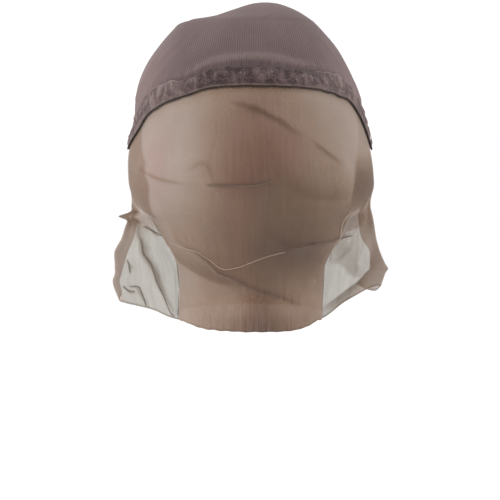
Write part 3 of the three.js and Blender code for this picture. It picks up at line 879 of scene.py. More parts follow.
# %% The back panel's form
SIDE_SEAM_TURN = 97
LOOSE_FROM = 0.124
LOOSE_AT = 0.150
NARROW_TURN = 75
WING_SHARE = 0.72
CURL_SHARE = 0.94
WING_SET_BACK = 0.008
CURL_RADIUS = 0.003
FRONT_HEM_DROP = 0.216
WINGS = table("drop left_reach right_reach left_curl right_curl", [
    (0.56, 1.01, 1.02, 0.0, 0.0),
    (0.63, 1.0, 1.0, 0.03, 0.06),
    (0.65, 1.0, 1.0, 0.04, 0.07),
    (0.665, 1.09, 1.0, 0.05, 0.085),
    (0.678, 1.02, 1.005, 0.05, 0.085),
    (0.7, 1.035, 1.015, 0.055, 0.09),
    (0.735, 1.065, 1.03, 0.065, 0.085),
    (0.775, 1.12, 1.06, 0.075, 0.05),
    (0.810, 1.12, 1.100, 0.045, 0.09),
    (0.829, 1.12, 1.127, 0.03, 0.115),
    (0.845, 1.12, 1.103, 0.02, 0.13),
    (0.885, 1.13, 1.067, 0.02, 0.17),
    (1.0, 1.0, 0.95, 0.02, 0.2),
])
HEM = table("across left right", [
    (0.0, 1.0, 1.0),
    (0.35, 0.997, 1.0),
    (0.6, 0.985, 0.982),
    (0.72, 0.985, 0.98),
    (0.82, 0.958, 0.93),
    (0.94, 0.935, 0.882),
    (0.97, 0.915, 0.9),
    (1.0, 0.9, 0.88),
])


def wing_point(across, drop):
    """A point of the panel's free side."""
    left = across < 0
    share = np.abs(across)
    reach = HALF_WIDTH * sided(WINGS, "drop", drop / CAP_HEIGHT, "_reach", left)
    curl = HALF_WIDTH * sided(WINGS, "drop", drop / CAP_HEIGHT, "_curl", left)
    sign = np.where(left, -1.0, 1.0)
    root = form_at(NARROW_TURN * sign, drop)
    tip = reach - CURL_RADIUS
    bend_end = (CURL_SHARE + 1) / 2
    straight = (share - WING_SHARE) / (CURL_SHARE - WING_SHARE)
    angle = np.pi * (share - CURL_SHARE) / (bend_end - CURL_SHARE)
    returned = (share - bend_end) / (1 - bend_end)
    start = np.abs(root[..., 0])
    parts = [share < CURL_SHARE, share < bend_end]
    settled = root[..., 1] + (-WING_SET_BACK - root[..., 1]) * eased(straight, 0, 1)
    outer = [start + (tip - start) * straight, tip + CURL_RADIUS * np.sin(angle)]
    out = np.select(parts, outer, tip - curl * returned)
    bent = -WING_SET_BACK + CURL_RADIUS * (1 - np.cos(angle))
    back = np.select(parts, [settled, bent], -WING_SET_BACK + 2 * CURL_RADIUS)
    return np.stack([sign * out, back, CROWN_WALL - drop], axis=-1)


def back_point(across, drop):
    """A point on the panel's outside, before its folds. across runs from -1 to 1."""
    across, drop = np.broadcast_arrays(np.asarray(across, float), np.asarray(drop, float))
    share = np.abs(across)
    sign = np.where(across < 0, -1.0, 1.0)
    loose = eased(drop, LOOSE_FROM, LOOSE_AT)
    turn_per_share = SIDE_SEAM_TURN + (NARROW_TURN / WING_SHARE - SIDE_SEAM_TURN) * loose
    on_form = form_at(turn_per_share * across, drop)
    loose = loose[..., None]
    mix = form_at(SIDE_SEAM_TURN * across, drop) * (1 - loose) + wing_point(across, drop) * loose
    root = sign * WING_SHARE
    at_root = form_at(SIDE_SEAM_TURN * root, drop) * (1 - loose) + wing_point(root, drop) * loose
    meet = form_at(root * turn_per_share, drop)
    settle = (1 - eased(share, WING_SHARE, CURL_SHARE))[..., None]
    return np.where((share < WING_SHARE)[..., None], on_form, mix + (meet - at_root) * settle)


print("panel reaches", np.round(back_point(np.array([-0.95, 0.95]), 0.19)[:, 0], 4), "m to its sides")

# %% [markdown]
# Folds are what makes cloth look like cloth. The broad soft ones are the solid's own. On top come the narrow
# creases in which the net doubles up: there it stands out less than a millimetre but looks clearly darker,
# because one looks through more threads and because painted shade is added along the fold. So each crease
# gives two things, a small rise and an amount of darkness, part doubled net and part painted shade, and both
# fade towards its ends. A row of the table holds its points (across, drop), its rise, its width at its first
# and last point, its darkness, and how wide it is on the right of its direction compared with the left. A
# small value there gives the sharp edge that a doubled layer has.

# %% Broad folds of the back panel
BACK_FOLDS = table("from_side from_drop to_side to_drop rise spread", [
    (-0.1, 0.315, 0.01, 0.33, 0.17, 0.34),
    (0.01, 0.33, 0.24, 0.412, 0.17, 0.34),
    (0.32, 0.436, 0.45, 0.495, 0.13, 0.34),
    (-0.6, 0.515, -0.31, 0.55, 0.14, 0.34),
    (-0.27, 0.495, -0.16, 0.545, 0.13, 0.34),
    (-0.15, 0.55, 0.11, 0.55, 0.15, 0.34),
    (-0.46, 0.722, -0.2, 0.805, 0.18, 0.34),
    (-0.2, 0.805, 0.16, 0.885, 0.18, 0.34),
    (0.1, 0.705, 0.25, 0.738, 0.12, 0.34),
    (0.25, 0.738, 0.7, 0.715, 0.12, 0.34),
    (-0.93, 0.64, -0.82, 0.77, 0.18, 0.3),
    (-0.82, 0.77, -0.745, 0.96, 0.18, 0.3),
    (0.84, 0.67, 0.88, 0.82, 0.14, 0.3),
])


print("broad folds:", len(BACK_FOLDS["rise"]))

# %% Narrow creases of the back panel
PANEL_REACH = 0.15
SOFT = 1.0
SHARP = 0.18
CREASES = {
    "upper slant": ([
        (-0.07, 0.317), (0.06, 0.345), (0.143, 0.371), (0.225, 0.409),
    ], 0.7, 2.0, 2.0, 0.38, SOFT),
    "upper right": ([(0.3, 0.43), (0.37, 0.462), (0.44, 0.491)], 0.5, 1.6, 1.6, 0.3, SOFT),
    "small arch": ([
        (-0.3, 0.515), (-0.226, 0.489), (-0.196, 0.493), (-0.161, 0.54), (-0.125, 0.545),
    ], 0.5, 1.4, 1.4, 0.13, SOFT),
    "level": ([(-0.2, 0.549), (-0.1, 0.551), (0.0, 0.55), (0.1, 0.542)], 0.7, 1.3, 1.3, 0.3, SOFT),
    "middle step": ([
        (0.13, 0.545), (0.143, 0.553), (0.22, 0.579), (0.304, 0.595), (0.417, 0.598), (0.56, 0.594),
    ], 0.3, 7.0, 9.0, 0.13, SHARP),
    "left slant": ([(-0.6, 0.512), (-0.452, 0.538), (-0.31, 0.55)], 0.5, 1.4, 1.4, 0.22, SOFT),
    "long slant": ([
        (-0.458, 0.722), (-0.345, 0.748), (-0.244, 0.792), (-0.143, 0.822), (-0.006, 0.858),
        (0.155, 0.884), (0.387, 0.922),
    ], 0.7, 1.7, 1.7, 0.28, SOFT),
    "lower right": ([
        (0.101, 0.703), (0.226, 0.736), (0.423, 0.732), (0.786, 0.711),
    ], 0.6, 2.0, 2.0, 0.22, SOFT),
    # underside: a small step in the cloth, with painted shade above a low contour at the back.
    "underside": ([
        (-0.583, 0.633), (-0.643, 0.676), (-0.667, 0.714), (-0.667, 0.751), (-0.655, 0.779),
        (-0.601, 0.798), (-0.518, 0.809), (-0.393, 0.828), (-0.292, 0.841), (-0.179, 0.851),
        (-0.077, 0.862),
    ], 0.4, 7.0, 11.0, 0.28, SHARP),
    "left shoulder": ([
        (-0.893, 0.612), (-0.88, 0.639), (-0.851, 0.663), (-0.84, 0.69),
    ], 0.8, 2.4, 2.8, 0.3, SOFT),
    "left pleat": ([
        (-0.85, 0.68), (-0.842, 0.724), (-0.818, 0.761), (-0.814, 0.798), (-0.793, 0.854),
        (-0.764, 0.925), (-0.741, 0.963),
    ], 0.7, 3.0, 1.0, 0.42, SOFT),
    "left corner": ([
        (-0.923, 0.883), (-0.911, 0.892), (-0.899, 0.902), (-0.881, 0.902),
    ], 0.3, 0.8, 0.8, 0.35, SOFT),
    "left hook": ([
        (-0.893, 0.884), (-0.869, 0.883), (-0.863, 0.898), (-0.857, 0.924), (-0.851, 0.946),
    ], 0.4, 1.0, 1.0, 0.3, SOFT),
    "left bulge": ([(-0.905, 0.805), (-0.893, 0.821), (-0.899, 0.837)], 0.3, 0.9, 0.9, 0.3, SOFT),
    "left small": ([
        (-0.804, 0.691), (-0.774, 0.7), (-0.744, 0.717), (-0.72, 0.722),
    ], 0.4, 1.0, 1.0, 0.4, SOFT),
    "right edge": ([
        (0.565, 0.644), (0.625, 0.712), (0.702, 0.761), (0.732, 0.802),
    ], 0.6, 1.4, 1.4, 0.1, SOFT),
    "right mark": ([(0.607, 0.722), (0.738, 0.723), (0.786, 0.719)], 0.4, 0.9, 0.9, 0.35, SOFT),
    "right loop": ([
        (0.774, 0.753), (0.798, 0.767), (0.786, 0.78), (0.768, 0.796), (0.75, 0.804),
    ], 0.4, 1.4, 1.4, 0.14, SOFT),
    "right doubling": ([
        (0.738, 0.805), (0.774, 0.805), (0.798, 0.817), (0.815, 0.836), (0.851, 0.85), (0.88, 0.835),
    ], 0.2, 26.0, 26.0, 0.2, 0.05),
    "right patch": ([
        (0.7, 0.73), (0.74, 0.745), (0.75, 0.765), (0.735, 0.785),
    ], 0.1, 5.5, 5.5, 0.15, SOFT),
    "right strip": ([
        (0.943, 0.732), (0.911, 0.791), (0.899, 0.812), (0.887, 0.828), (0.851, 0.873), (0.792, 0.913),
        (0.732, 0.943),
    ], 0.2, 6.0, 6.0, 0.2, 0.05),
    "right hem": ([
        (0.89, 0.845), (0.851, 0.873), (0.792, 0.913), (0.722, 0.949),
    ], 0.2, 8.0, 9.0, 0.24, 0.08),
    "crimp 1": ([(0.18, 0.868), (0.185, 0.9)], 0.25, 0.9, 0.9, 0.12, SOFT),
    "crimp 2": ([(0.24, 0.872), (0.245, 0.91)], 0.25, 0.9, 0.9, 0.15, SOFT),
    "crimp 3": ([(0.31, 0.88), (0.31, 0.925)], 0.25, 0.9, 0.9, 0.12, SOFT),
    "crimp 4": ([(0.38, 0.882), (0.385, 0.918)], 0.25, 0.9, 0.9, 0.12, SOFT),
    "crimp 5": ([(-0.4, 0.7), (-0.39, 0.727)], 0.2, 0.9, 0.9, 0.1, SOFT),
    "crimp 6": ([(-0.35, 0.706), (-0.34, 0.735)], 0.2, 0.9, 0.9, 0.1, SOFT),
}


def creased(across, drop):
    """The rise in metres and the darkness of all creases at a place of the panel."""
    rise = np.zeros_like(across)
    dark = np.zeros_like(across)
    for points, height, first_width, last_width, darkness, right_edge in CREASES.values():
        places = [(a * PANEL_REACH, d * CAP_HEIGHT) for a, d in points]
        lengths = [math.dist(a, b) for a, b in zip(places, places[1:])]
        nearest = np.full_like(across, 1.0)
        along = np.zeros_like(across)
        to_right = np.zeros_like(across, dtype=bool)
        for k, (start, end) in enumerate(zip(places, places[1:])):
            distance, share = along_line(across * PANEL_REACH, drop, start, end)
            from_start = across * PANEL_REACH - start[0]
            turned = (end[0] - start[0]) * (drop - start[1]) - (end[1] - start[1]) * from_start
            closer = distance < nearest
            nearest = np.where(closer, distance, nearest)
            along = np.where(closer, (sum(lengths[:k]) + share * lengths[k]) / sum(lengths), along)
            to_right = np.where(closer, turned > 0, to_right)
        fade = np.sqrt(np.clip(np.sin(np.pi * np.clip(along, 0.02, 0.98)), 0, 1))
        width = 0.001 * (first_width + (last_width - first_width) * along)
        width = width * np.where(to_right, right_edge, 1.0)
        profile = np.exp(-((nearest / width) ** 2)) * fade
        rise += height * 0.001 * profile
        dark += darkness * profile
    return rise, dark


print("narrow creases:", len(CREASES))

# %% The back panel's outside
FLARE_WAVE = 0.0012


def panel_point(across, drop):
    """A point on the back panel's outside, with its folds and creases."""
    across, drop = np.broadcast_arrays(np.asarray(across, float), np.asarray(drop, float))
    edge = edge_drop(SIDE_SEAM_TURN * across)
    clear = eased(drop, edge + LACE_LAP, edge + 3 * LACE_LAP)
    near_curl = eased(np.abs(across), CURL_SHARE - 0.04, CURL_SHARE)
    rise, _ = creased(across, drop)
    free = eased(np.abs(across), WING_SHARE, CURL_SHARE) * eased(drop, LOOSE_FROM, LOOSE_AT + 0.01)
    wave = FLARE_WAVE * free * (1 - near_curl) * np.sin(drop * 2 * np.pi / 0.021 + 9 * across)
    lift = (folded(BACK_FOLDS, across, drop, HALF_WIDTH) + rise) * clear * (1 - near_curl) + wave
    return back_point(across, drop) + lift[..., None] * outwards(back_point, across, drop, 0.005, 0.001)


# %% The back panel's grid
BACK_ROWS = 165
HEM_RIPPLE = 0.0002
UNDER_EDGE = 0.0005


def hanging_drops(edge, hem, rows):
    """The drops of a hanging panel's rows: one under the band, the others down to the hem."""
    start = edge + UNDER_EDGE
    free = start + (hem - start) * np.linspace(0, 1, rows)[:, None]
    return np.concatenate([(edge - LACE_LAP)[None], free])


def hem_fold(drops, hem):
    """1 in the narrow fold along the hem."""
    return eased(drops, hem - 0.0018, hem - 0.0008)


straight = np.linspace(-CURL_SHARE, CURL_SHARE, 231)
bend = np.linspace(CURL_SHARE, 1, 22)[1:]
columns_across = np.concatenate([-bend[::-1], straight, bend])
hem = CAP_HEIGHT * sided(HEM, "across", np.abs(columns_across), "", columns_across < 0)
hem = hem + HEM_RIPPLE * ripple(columns_across * 180, 5, 22, seed=5)
edge = edge_drop(SIDE_SEAM_TURN * columns_across)
drops = hanging_drops(edge, hem, BACK_ROWS)
across_grid = np.broadcast_to(columns_across, drops.shape)
back_points = panel_point(across_grid, drops)
under = outwards(form_at, SIDE_SEAM_TURN * across_grid[:2], drops[:2], 1.0, 0.001)
back_points[:2] -= SEWN_GAP * under
back_flat = np.stack([across_grid * PANEL_REACH, -drops], axis=-1)
print("back grid", back_points.shape[:2])

# %% [markdown]
# Through sheer cloth one sees what lies behind it, so its colour changes over the panel: paler and more open
# where it hangs free, denser and warmer where it lies close. Light and shade are painted in too: painted
# shade where the cloth turns away from the light, painted light where it faces it, a painted shadow just
# under the band, and a cooler tint where it hangs free, as painted light from the sky. Painting that by hand
# would be one way. Here one table of soft zones gives each point of the panel a tone of painted light and
# shade, a second one gives it a blush, and a third says at each level where the cloth leaves the form at
# either side. The material reads what they give.

# %% Tone and cover of the back panel
# Each zone paints light and shade: a positive tone darkens the lace in a soft patch as painted shade, a
# negative tone lightens it as painted light.
ZONES = table("side drop wide tall tone", [
    (0.14, 0.62, 0.46, 0.60, 0.60),
    (0.02, 0.42, 0.22, 0.14, 0.10),
    (0.02, 0.545, 0.20, 0.05, 0.14),
    (0.38, 0.70, 0.30, 0.14, 0.20),
    (0.08, 0.97, 0.13, 0.12, 0.20),
    (-0.25, 0.50, 0.16, 0.30, 0.10),
    (0.50, 0.70, 0.14, 0.16, 0.12),
    (0.68, 0.63, 0.14, 0.14, 0.18),
    (0.78, 0.66, 0.16, 0.10, 0.20),
    (-0.60, 0.70, 0.25, 0.10, 0.14),
    (0.24, 0.36, 0.24, 0.06, -0.12),
    (0.45, 0.28, 0.22, 0.035, -0.14),
    (0.05, 0.285, 0.20, 0.03, -0.09),
    (-0.05, 0.765, 0.52, 0.085, 0.16),
    (0.05, 0.985, 0.50, 0.035, 0.26),
    (-0.25, 0.68, 0.35, 0.10, 0.05),
    (-0.45, 0.93, 0.20, 0.06, 0.12),
    (0.42, 0.77, 0.20, 0.06, 0.14),
    (0.52, 0.81, 0.12, 0.08, 0.10),
    (0.90, 0.665, 0.16, 0.05, 0.30),
    (-0.33, 0.80, 0.12, 0.08, 0.07),
    (0.5, 0.955, 0.12, 0.05, 0.08),
])
BLUSH = table("side drop wide tall tone", [
    (0.02, 0.42, 0.24, 0.12, 0.8),
    (-0.08, 0.52, 0.22, 0.05, 0.5),
    (0.30, 0.46, 0.14, 0.06, 0.7),
    (-0.06, 0.66, 0.14, 0.14, 0.5),
    (0.02, 0.95, 0.12, 0.08, 0.4),
    (0.35, 0.66, 0.26, 0.12, -0.7),
    (-0.75, 0.50, 0.12, 0.12, 0.5),
])
SIDES = table("drop left_leaves right_leaves left_strip right_strip left_tone right_tone", [
    (0.38, 1.05, 1.05, 0.690, 0.680, 0.33, 0.25),
    (0.46, 1.05, 1.05, 0.607, 0.610, 0.33, 0.25),
    (0.50, 1.05, 1.05, 0.560, 0.575, 0.33, 0.48),
    (0.55, 1.05, 1.05, 0.548, 0.555, 0.40, 0.76),
    (0.59, 1.05, 1.05, 0.554, 0.540, 0.46, 0.78),
    (0.633, 0.95, 1.05, 0.575, 0.545, 0.46, 0.62),
    (0.655, 0.76, 1.05, 0.600, 0.580, 0.46, 0.50),
    (0.676, 0.665, 0.97, 0.640, 0.620, 0.46, 0.50),
    (0.70, 0.665, 0.80, 0.660, 0.640, 0.40, 0.50),
    (0.72, 0.668, 0.67, 0.670, 0.650, 0.36, 0.50),
    (0.751, 0.672, 0.69, 0.680, 0.700, 0.36, 0.50),
    (0.80, 0.70, 0.715, 0.720, 0.720, 0.36, 0.50),
    (1.0, 0.72, 0.72, 0.720, 0.720, 0.36, 0.50),
])
STRIP_END = 0.645
BASE_TONE = 0.05
BAND_SHADOW = 0.05
BAND_SHADOW_REACH = 0.006
SINGLE_TONE = 0.17
LOOSE_TONE = 0.20
DOUBLED_TONE = 0.07
BASE_COVER = 0.88
MOST_COVER = 0.97
LOW_COVER = 0.10
THIN_BELOW = 0.17
THIN_ABOVE = 0.13
EDGE_DENSER = 0.15
LACE_WALL = 0.0005
side = back_points[..., 0] / HALF_WIDTH
level = drops / CAP_HEIGHT
share = np.abs(across_grid)
on_left = across_grid < 0


def zoned(zones):
    """The sum of soft round zones at every point of the grid."""
    total = np.zeros_like(side)
    for k in range(len(zones["tone"])):
        zone = {name: values[k] for name, values in zones.items()}
        reach = ((side - zone["side"]) / zone["wide"]) ** 2 + ((level - zone["drop"]) / zone["tall"]) ** 2
        total += zone["tone"] * np.exp(-reach)
    return total


band_shadow = BAND_SHADOW * np.exp(-(((drops - edge) / BAND_SHADOW_REACH) ** 2))
tone = BASE_TONE + zoned(ZONES) + band_shadow
leaves = sided(SIDES, "drop", level, "_leaves", on_left)
strip = sided(SIDES, "drop", level, "_strip", on_left)
strip_tone = sided(SIDES, "drop", level, "_tone", on_left)
free = eased(share, leaves - 0.01, leaves + 0.01)
end_slant = STRIP_END + 0.25 * (0.72 - share)
strip_side = eased(share, strip - 0.02, strip + 0.02)
strip_side = strip_side * (1 - eased(level, end_slant - 0.006, end_slant + 0.006))
tone = tone + (strip_tone - tone) * strip_side
single = SINGLE_TONE + LOOSE_TONE * eased(level, 0.76, 0.665)
tone = tone + (single - tone) * free * (1 - strip_side)
_, dark = creased(across_grid, drops)
tone = tone + dark
low_middle = eased(level, 0.86, 0.92) * (1 - eased(share, 0.70, 0.73))
reach, curl = (sided(WINGS, "drop", level, n, on_left) for n in ("_reach", "_curl"))
inner_reach = HALF_WIDTH * (reach - curl) - CURL_RADIUS
from_middle = np.abs(back_points[..., 0])
doubled = eased(from_middle, inner_reach - 0.0006, inner_reach + 0.0006) * eased(share, WING_SHARE, 0.8)
doubled = np.maximum(doubled, eased(share, CURL_SHARE, CURL_SHARE + 0.01)) * free
thin = free * (THIN_BELOW - THIN_ABOVE * eased(level, 0.73, 0.665))
denser = EDGE_DENSER * np.maximum(hem_fold(drops, hem), eased(share, 0.992, 1.0))
cover = BASE_COVER + LOW_COVER * low_middle - thin + 0.5 * dark * free
cover = np.clip(cover + denser, 0, MOST_COVER)
tone = tone + DOUBLED_TONE * doubled + denser
sky_lit = free * eased(level, 0.66, 0.72) * (1 - doubled)
back_panel = cloth(
    "back_panel", back_points, LACE_WALL, back_flat,
    tone=tone, cover=cover, blush=zoned(BLUSH), sky_lit=sky_lit,
)

# %% [markdown]
# The lace itself is a net so fine that one hardly sees its holes. Modelled threads would be too
# many, so the shader makes the sheet partly see-through. Each sheet has two layers, an outside
# and an inside, so each lets through the square root of what the cloth lets through. The net and
# its long fine streaks vary that a little, and a colour ramp turns the tone into a real colour.

# %% Lace material
NET_ACROSS = 0.0006
NET_ALONG = 0.0007
lace_material, tree, shader, solid_place, flat_place = new_material(
    "Sheer lace", 0.8, 0.12, (0.9, 0.85, 0.8)
)
parts = add(tree, "ShaderNodeSeparateXYZ", {0: flat_place}).outputs
net = times(tree, waves(tree, parts[0], NET_ACROSS), waves(tree, parts[1], NET_ALONG))
grain = noise(tree, scaled(tree, flat_place, (1.0, 0.5, 1.0)), 0.0012, 2.0)
streaks = mottled(tree, scaled(tree, flat_place, (14.0, 1.0, 1.0)), 0.03, 3.0)
clouds = mottled(tree, solid_place, 0.02)
tone = amount(tree, "tone")
for source, reach in ((streaks, 0.07), (clouds, 0.06), (grain, 0.10)):
    tone = calc(tree, "ADD", tone, calc(tree, "MULTIPLY_ADD", source, reach, -reach / 2))
ramp = add(tree, "ShaderNodeValToRGB", {0: tone})
stops = ramp.color_ramp.elements
stops[0].color = (0.380, 0.308, 0.266, 1)
stops[1].color = (0.080, 0.041, 0.026, 1)
stops.new(0.33).color = (0.254, 0.174, 0.127, 1)
stops.new(0.66).color = (0.149, 0.087, 0.054, 1)
blush = amount(tree, "blush")
rosy = calc(tree, "MAXIMUM", blush, 0.0)
mossy = calc(tree, "MAXIMUM", times(tree, blush, -1.0), 0.0)
base = mixed(tree, rosy, ramp.outputs[0], (1.10, 0.93, 0.99, 1), "MULTIPLY")
base = mixed(tree, mossy, base, (0.96, 1.02, 0.94, 1), "MULTIPLY")
base = mixed(tree, amount(tree, "sky_lit"), base, (0.80, 0.93, 0.90, 1), "MULTIPLY")
open_share = calc(tree, "SUBTRACT", 1.0, amount(tree, "cover"))
for source, middle, reach in ((streaks, 0.5, 0.06), (net, 0.25, 0.02)):
    varied = calc(tree, "SUBTRACT", middle, source)
    open_share = calc(tree, "MULTIPLY_ADD", varied, reach, open_share)
open_share = calc(tree, "MAXIMUM", open_share, 0.01)
alpha = calc(tree, "SUBTRACT", 1.0, calc(tree, "POWER", open_share, 0.5))
tree.links.new(alpha, shader.inputs["Alpha"])
dressed(tree, shader, base, streaks, 0.00004)
back_panel.data.materials.append(lace_material)
print("ramp stops:", len(stops))

# %% [markdown]
# The front lace is the same cloth. It lies plainly over the front from seam to seam and ends in a
# level hem. A few slow waves keep it from looking like sheet metal.

# %% The front panel
FRONT_COLUMNS = 150
FRONT_ROWS = 110
FRONT_WAVE = 0.0009
FRONT_SWELL = 0.0007
FRONT_TONE = 0.30
FRONT_COVER = 0.86
seam_gap = math.degrees(SEWN_GAP / HALF_WIDTH)
turns = np.linspace(SIDE_SEAM_TURN + seam_gap, 360 - SIDE_SEAM_TURN - seam_gap, FRONT_COLUMNS)
edge = edge_drop(turns)
hem = FRONT_HEM_DROP + HEM_RIPPLE * ripple(turns, 5, 22, seed=6)
drops = hanging_drops(edge, hem, FRONT_ROWS)
turn_grid = np.broadcast_to(turns, drops.shape)
below = eased(drops, edge + LACE_LAP, edge + 8 * LACE_LAP)
wave = FRONT_WAVE * below * np.sin(np.radians(turn_grid) * 9 + 60 * drops) * eased(drops, 0.12, 0.2)
slow = FRONT_SWELL * below * ripple(turn_grid + 900 * (drops - 0.1), 5, 12, seed=12)
lift = wave + slow
lift[:2] = -SEWN_GAP
front_points = form_at(turn_grid, drops) + lift[..., None] * outwards(form_at, turn_grid, drops, 1.0, 0.001)
front_flat = np.stack([np.radians(turn_grid - 180) * FRONT_DEPTH, -drops], axis=-1)
hem_edge = hem_fold(drops, hem)
tone = FRONT_TONE + 0.10 * ripple(turn_grid + 300 * drops, 3, 7, seed=13) + 0.15 * hem_edge
cover = FRONT_COVER + 0.08 * hem_edge
front_panel = cloth("front_panel", front_points, LACE_WALL, front_flat, tone=tone, cover=cover)
front_panel.data.materials.append(lace_material)

# %% [markdown]
# Between the two lace panels, below the band at each side, a short seam of small slanted stitches closes the
# gap. And across the back runs one pale line that lies loosely on the net, with a second, shorter one down
# the right side. Both are painted highlights along folds of the net, made as thin pale tubes swept along a
# line on the cloth. The crispest folds, where the net is doubled to a hard edge that the panel's grid is too
# coarse for, are thin tubes swept in the same way. Their tubes taper at both ends and are half see-through,
# and their dark colour is the doubled net with some painted shade.

# %% Seams at the sides
SEAM_END_DROP = 0.1225
seam_pieces = []
for name, turn in (("left_seam", 360.0 - SIDE_SEAM_TURN), ("right_seam", float(SIDE_SEAM_TURN))):
    drop = np.linspace(SIDE_EDGE_DROP + 0.0025, SEAM_END_DROP, 30)
    at = np.full_like(drop, turn + (seam_gap if turn < 180 else -seam_gap) / 2)
    out = outwards(form_at, at, drop, 1.0, 0.001)
    line = path_object(name + "_path", form_at(at, drop) + 0.0001 * out, out, False)
    values = {"Pitch": 0.0016, "Length": 0.0030, "Thickness": 0.0004, "Zigzag": 0.9}
    seam_pieces.append(grown(name, line, stitches, {**values, "Thread": thread_material}))

# %% Materials of the pale highlight lines and folds
pale_material = simple_material(
    "Pale thread", 0.6, 0.1, 0.0015, (0.30, 0.235, 0.185), (0.50, 0.42, 0.34), 0.0001
)
folded_material = simple_material(
    "Folded lace", 0.85, 0.1, 0.003, (0.15, 0.11, 0.08), (0.22, 0.165, 0.125)
)
folded_material.node_tree.nodes["Principled BSDF"].inputs["Alpha"].default_value = 0.55

# %% Thin wandering tubes by geometry nodes
loose, given = geometry_tree(
    "Loose thread",
    {"Diameter": "Float", "Step": "Float", "Wander": "Float", "Seed": "Float", "Taper": "Float",
     "Thread": "Material"},
)
path = first(loose, "GeometryNodeMeshToCurve", {0: given["Geometry"]})
fine = resampled(loose, path, given["Step"])
inputs = {"Vector": first(loose, "GeometryNodeInputPosition"), "W": given["Seed"], "Scale": 180.0}
drift = first(loose, "ShaderNodeTexNoise", inputs, noise_dimensions="4D")
aside = times(loose, calc(loose, "SUBTRACT", drift, 0.5), given["Wander"])
moved_by = first(loose, "ShaderNodeCombineXYZ", {2: aside})
moved = first(loose, "GeometryNodeSetPosition", {"Geometry": fine, "Offset": moved_by})
radius = times(loose, given["Diameter"], 0.5)
circle = first(loose, "GeometryNodeCurvePrimitiveCircle", {"Resolution": 6, "Radius": radius})
halfway = times(loose, first(loose, "GeometryNodeSplineParameter"), math.pi)
fullness = calc(loose, "POWER", calc(loose, "MAXIMUM", calc(loose, "SINE", halfway), 0.01), 0.5)
thinned = calc(loose, "MULTIPLY_ADD", calc(loose, "SUBTRACT", fullness, 1.0), given["Taper"], 1.0)
tapered = first(loose, "GeometryNodeSetCurveRadius", {"Curve": moved, "Radius": thinned})
inputs = {"Curve": tapered, "Profile Curve": circle, "Fill Caps": True}
end_tree(loose, first(loose, "GeometryNodeCurveToMesh", inputs), given["Thread"])

# %% Pale highlight lines and crisp folds
THREADS = {
    "back_thread": [
        (-0.589, 0.737), (-0.446, 0.742), (-0.345, 0.748), (-0.286, 0.766), (-0.185, 0.796),
        (-0.101, 0.80), (-0.054, 0.795), (0.054, 0.776), (0.202, 0.753),
    ],
    "side_thread": [
        (0.575, 0.640), (0.60, 0.680), (0.62, 0.716), (0.65, 0.752), (0.72, 0.778), (0.738, 0.804),
    ],
}
THREAD_DIAMETERS = {"back_thread": 0.00028, "side_thread": 0.0007}
FOLD_DIAMETER = 0.0008
FOLD_LINES = {
    "pleat_fold": [
        (-0.833, 0.730), (-0.810, 0.788), (-0.804, 0.841), (-0.780, 0.894), (-0.762, 0.949), (-0.745, 0.972),
    ],
    "small_fold": [(-0.815, 0.693), (-0.774, 0.702), (-0.738, 0.712), (-0.708, 0.721)],
    "corner_fold": [(-0.917, 0.883), (-0.905, 0.895), (-0.881, 0.898)],
    "hook_fold": [(-0.893, 0.883), (-0.863, 0.884), (-0.857, 0.902), (-0.857, 0.944)],
    "bulge_fold": [(-0.905, 0.800), (-0.899, 0.814), (-0.899, 0.841)],
    "right_fold": [(0.625, 0.722), (0.738, 0.725), (0.792, 0.721)],
    "lower_fold": [(0.226, 0.736), (0.32, 0.735), (0.411, 0.729), (0.506, 0.727), (0.60, 0.722)],
    "level_fold": [(-0.19, 0.551), (-0.113, 0.549), (-0.006, 0.552), (0.089, 0.542)],
}
thread_pieces = []
for name, places in {**THREADS, **FOLD_LINES}.items():
    line = table("across drop", places)
    at = np.linspace(0, len(places) - 1, 90)
    across = smooth(line, "across", at)
    drop = smooth(line, "drop", at) * CAP_HEIGHT
    out = outwards(panel_point, across, drop, 0.004, 0.0008)
    start = path_object(name + "_path", panel_point(across, drop) + 0.0002 * out, out, False)
    values = {"Diameter": THREAD_DIAMETERS.get(name, FOLD_DIAMETER), "Step": 0.001, "Seed": 2.0}
    if name in THREADS:
        values.update({"Wander": 0.0008, "Taper": 0.0, "Thread": pale_material})
    else:
        values.update({"Wander": 0.0004, "Taper": 0.9, "Thread": folded_material})
    thread_pieces.append(grown(name, start, loose, values))

# %% [markdown]
# A plain pale floor lies well below the hem and is so wide that its end is out of sight. The sky
# is an even white, as in a white studio, which fills the shadows softly. One large lamp from the
# upper left gives the folds their shape, and a weaker one from the right keeps that side open.

# %% Floor
FLOOR_HEIGHT = -0.42
FLOOR_SIZE = 60.0
corners = np.array([(-1, -1, 0), (1, -1, 0), (1, 1, 0), (-1, 1, 0)]) * FLOOR_SIZE / 2
corners[:, 2] = FLOOR_HEIGHT
studio_floor = object_from("studio_floor", corners, np.array([[0, 1, 2, 3]]))
studio_floor.data.materials.append(simple_material("Pale floor", 0.9, 0.0, 0.4, (0.955,) * 3, (0.965,) * 3))

# %% Sky and lamps
from mathutils import Vector

world = bpy.data.worlds.new("White studio")
bpy.context.scene.world = world
world.use_nodes = True
world.node_tree.nodes["Background"].inputs[0].default_value = (1, 1, 1, 1)
world.node_tree.nodes["Background"].inputs[1].default_value = 1.07
CAP_MIDDLE = Vector((0, 0, -0.11))


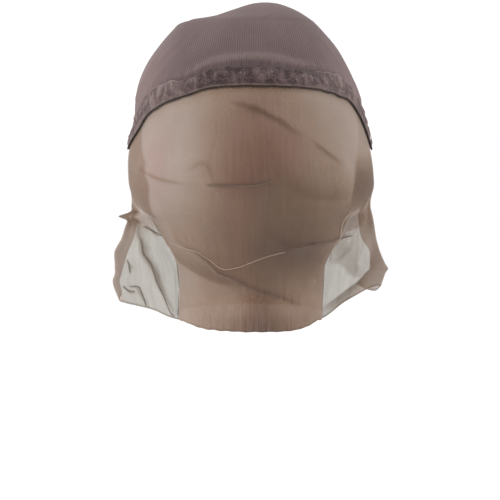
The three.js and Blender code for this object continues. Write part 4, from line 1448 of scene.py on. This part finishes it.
def lamp(name, place, size, power):
    """A square lamp that points at the middle of the cap."""
    light = bpy.data.lights.new(name, "AREA")
    light.size = size
    light.energy = power
    made = bpy.data.objects.new(name, light)
    made.location = place
    made.rotation_euler = (CAP_MIDDLE - Vector(place)).to_track_quat("-Z", "Y").to_euler()
    bpy.context.scene.collection.objects.link(made)


lamp("key_lamp", (-1.3, -0.7, 0.75), 0.9, 12.0)
lamp("side_lamp", (1.5, -0.2, 0.3), 0.9, 6.0)
bpy.context.scene.view_settings.view_transform = "Standard"
print("lamps at work")

# %% [markdown]
# The camera stands behind the cap, a little above its middle and 1.3 m away, and looks slightly
# down. The lens is chosen so that 350 mm of the object's plane fill the square picture.

# %% Camera
VIEW_WIDTH = 0.350
VIEW_DISTANCE = 1.300
VIEW_ELEVATION = math.radians(4)
VIEW_TARGET = Vector((-0.0007, 0, -0.171))
camera_data = bpy.data.cameras.new("camera")
camera_data.sensor_width = 36.0
camera_data.lens = 36.0 * VIEW_DISTANCE / VIEW_WIDTH
camera = bpy.data.objects.new("camera", camera_data)
towards = Vector((0, -math.cos(VIEW_ELEVATION), math.sin(VIEW_ELEVATION)))
camera.location = VIEW_TARGET + VIEW_DISTANCE * towards
camera.rotation_euler = (-towards).to_track_quat("-Z", "Y").to_euler()
bpy.context.scene.collection.objects.link(camera)
bpy.context.scene.camera = camera
print(f"lens {camera_data.lens:.1f} mm")

# %% [markdown]
# Last, the pieces are tied to the frame. The cap has no joints, so everything rides on one body.
# Each soft solid is hidden behind the piece that stands for it, and the area of each sheet's cloth is
# printed.

# %% Tie the pieces to the frame
SLOTS = {
    crown_mesh: "crown_mesh",
    gathered_band: "band_cloth",
    edge_stitches: "band_cloth",
    binding_cord: "binding_cord",
    back_panel: "lace",
    front_panel: "lace",
    **{piece: "lace" for piece in seam_pieces + thread_pieces},
}
for piece, slot in SLOTS.items():
    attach(piece, "root")
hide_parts("crown")
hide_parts("crown_band")
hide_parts("edge_binding")
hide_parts("back_lace")
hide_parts("front_lace")


def sheet_area(piece):
    """Half of a closed sheet's surface, which is the area of the cloth."""
    return sum(face.area for face in piece.data.polygons) / 2


for piece in (crown_mesh, gathered_band, back_panel, front_panel):
    print(f"{piece.name}: {sheet_area(piece) * 1e4:.0f} cm2 of cloth")
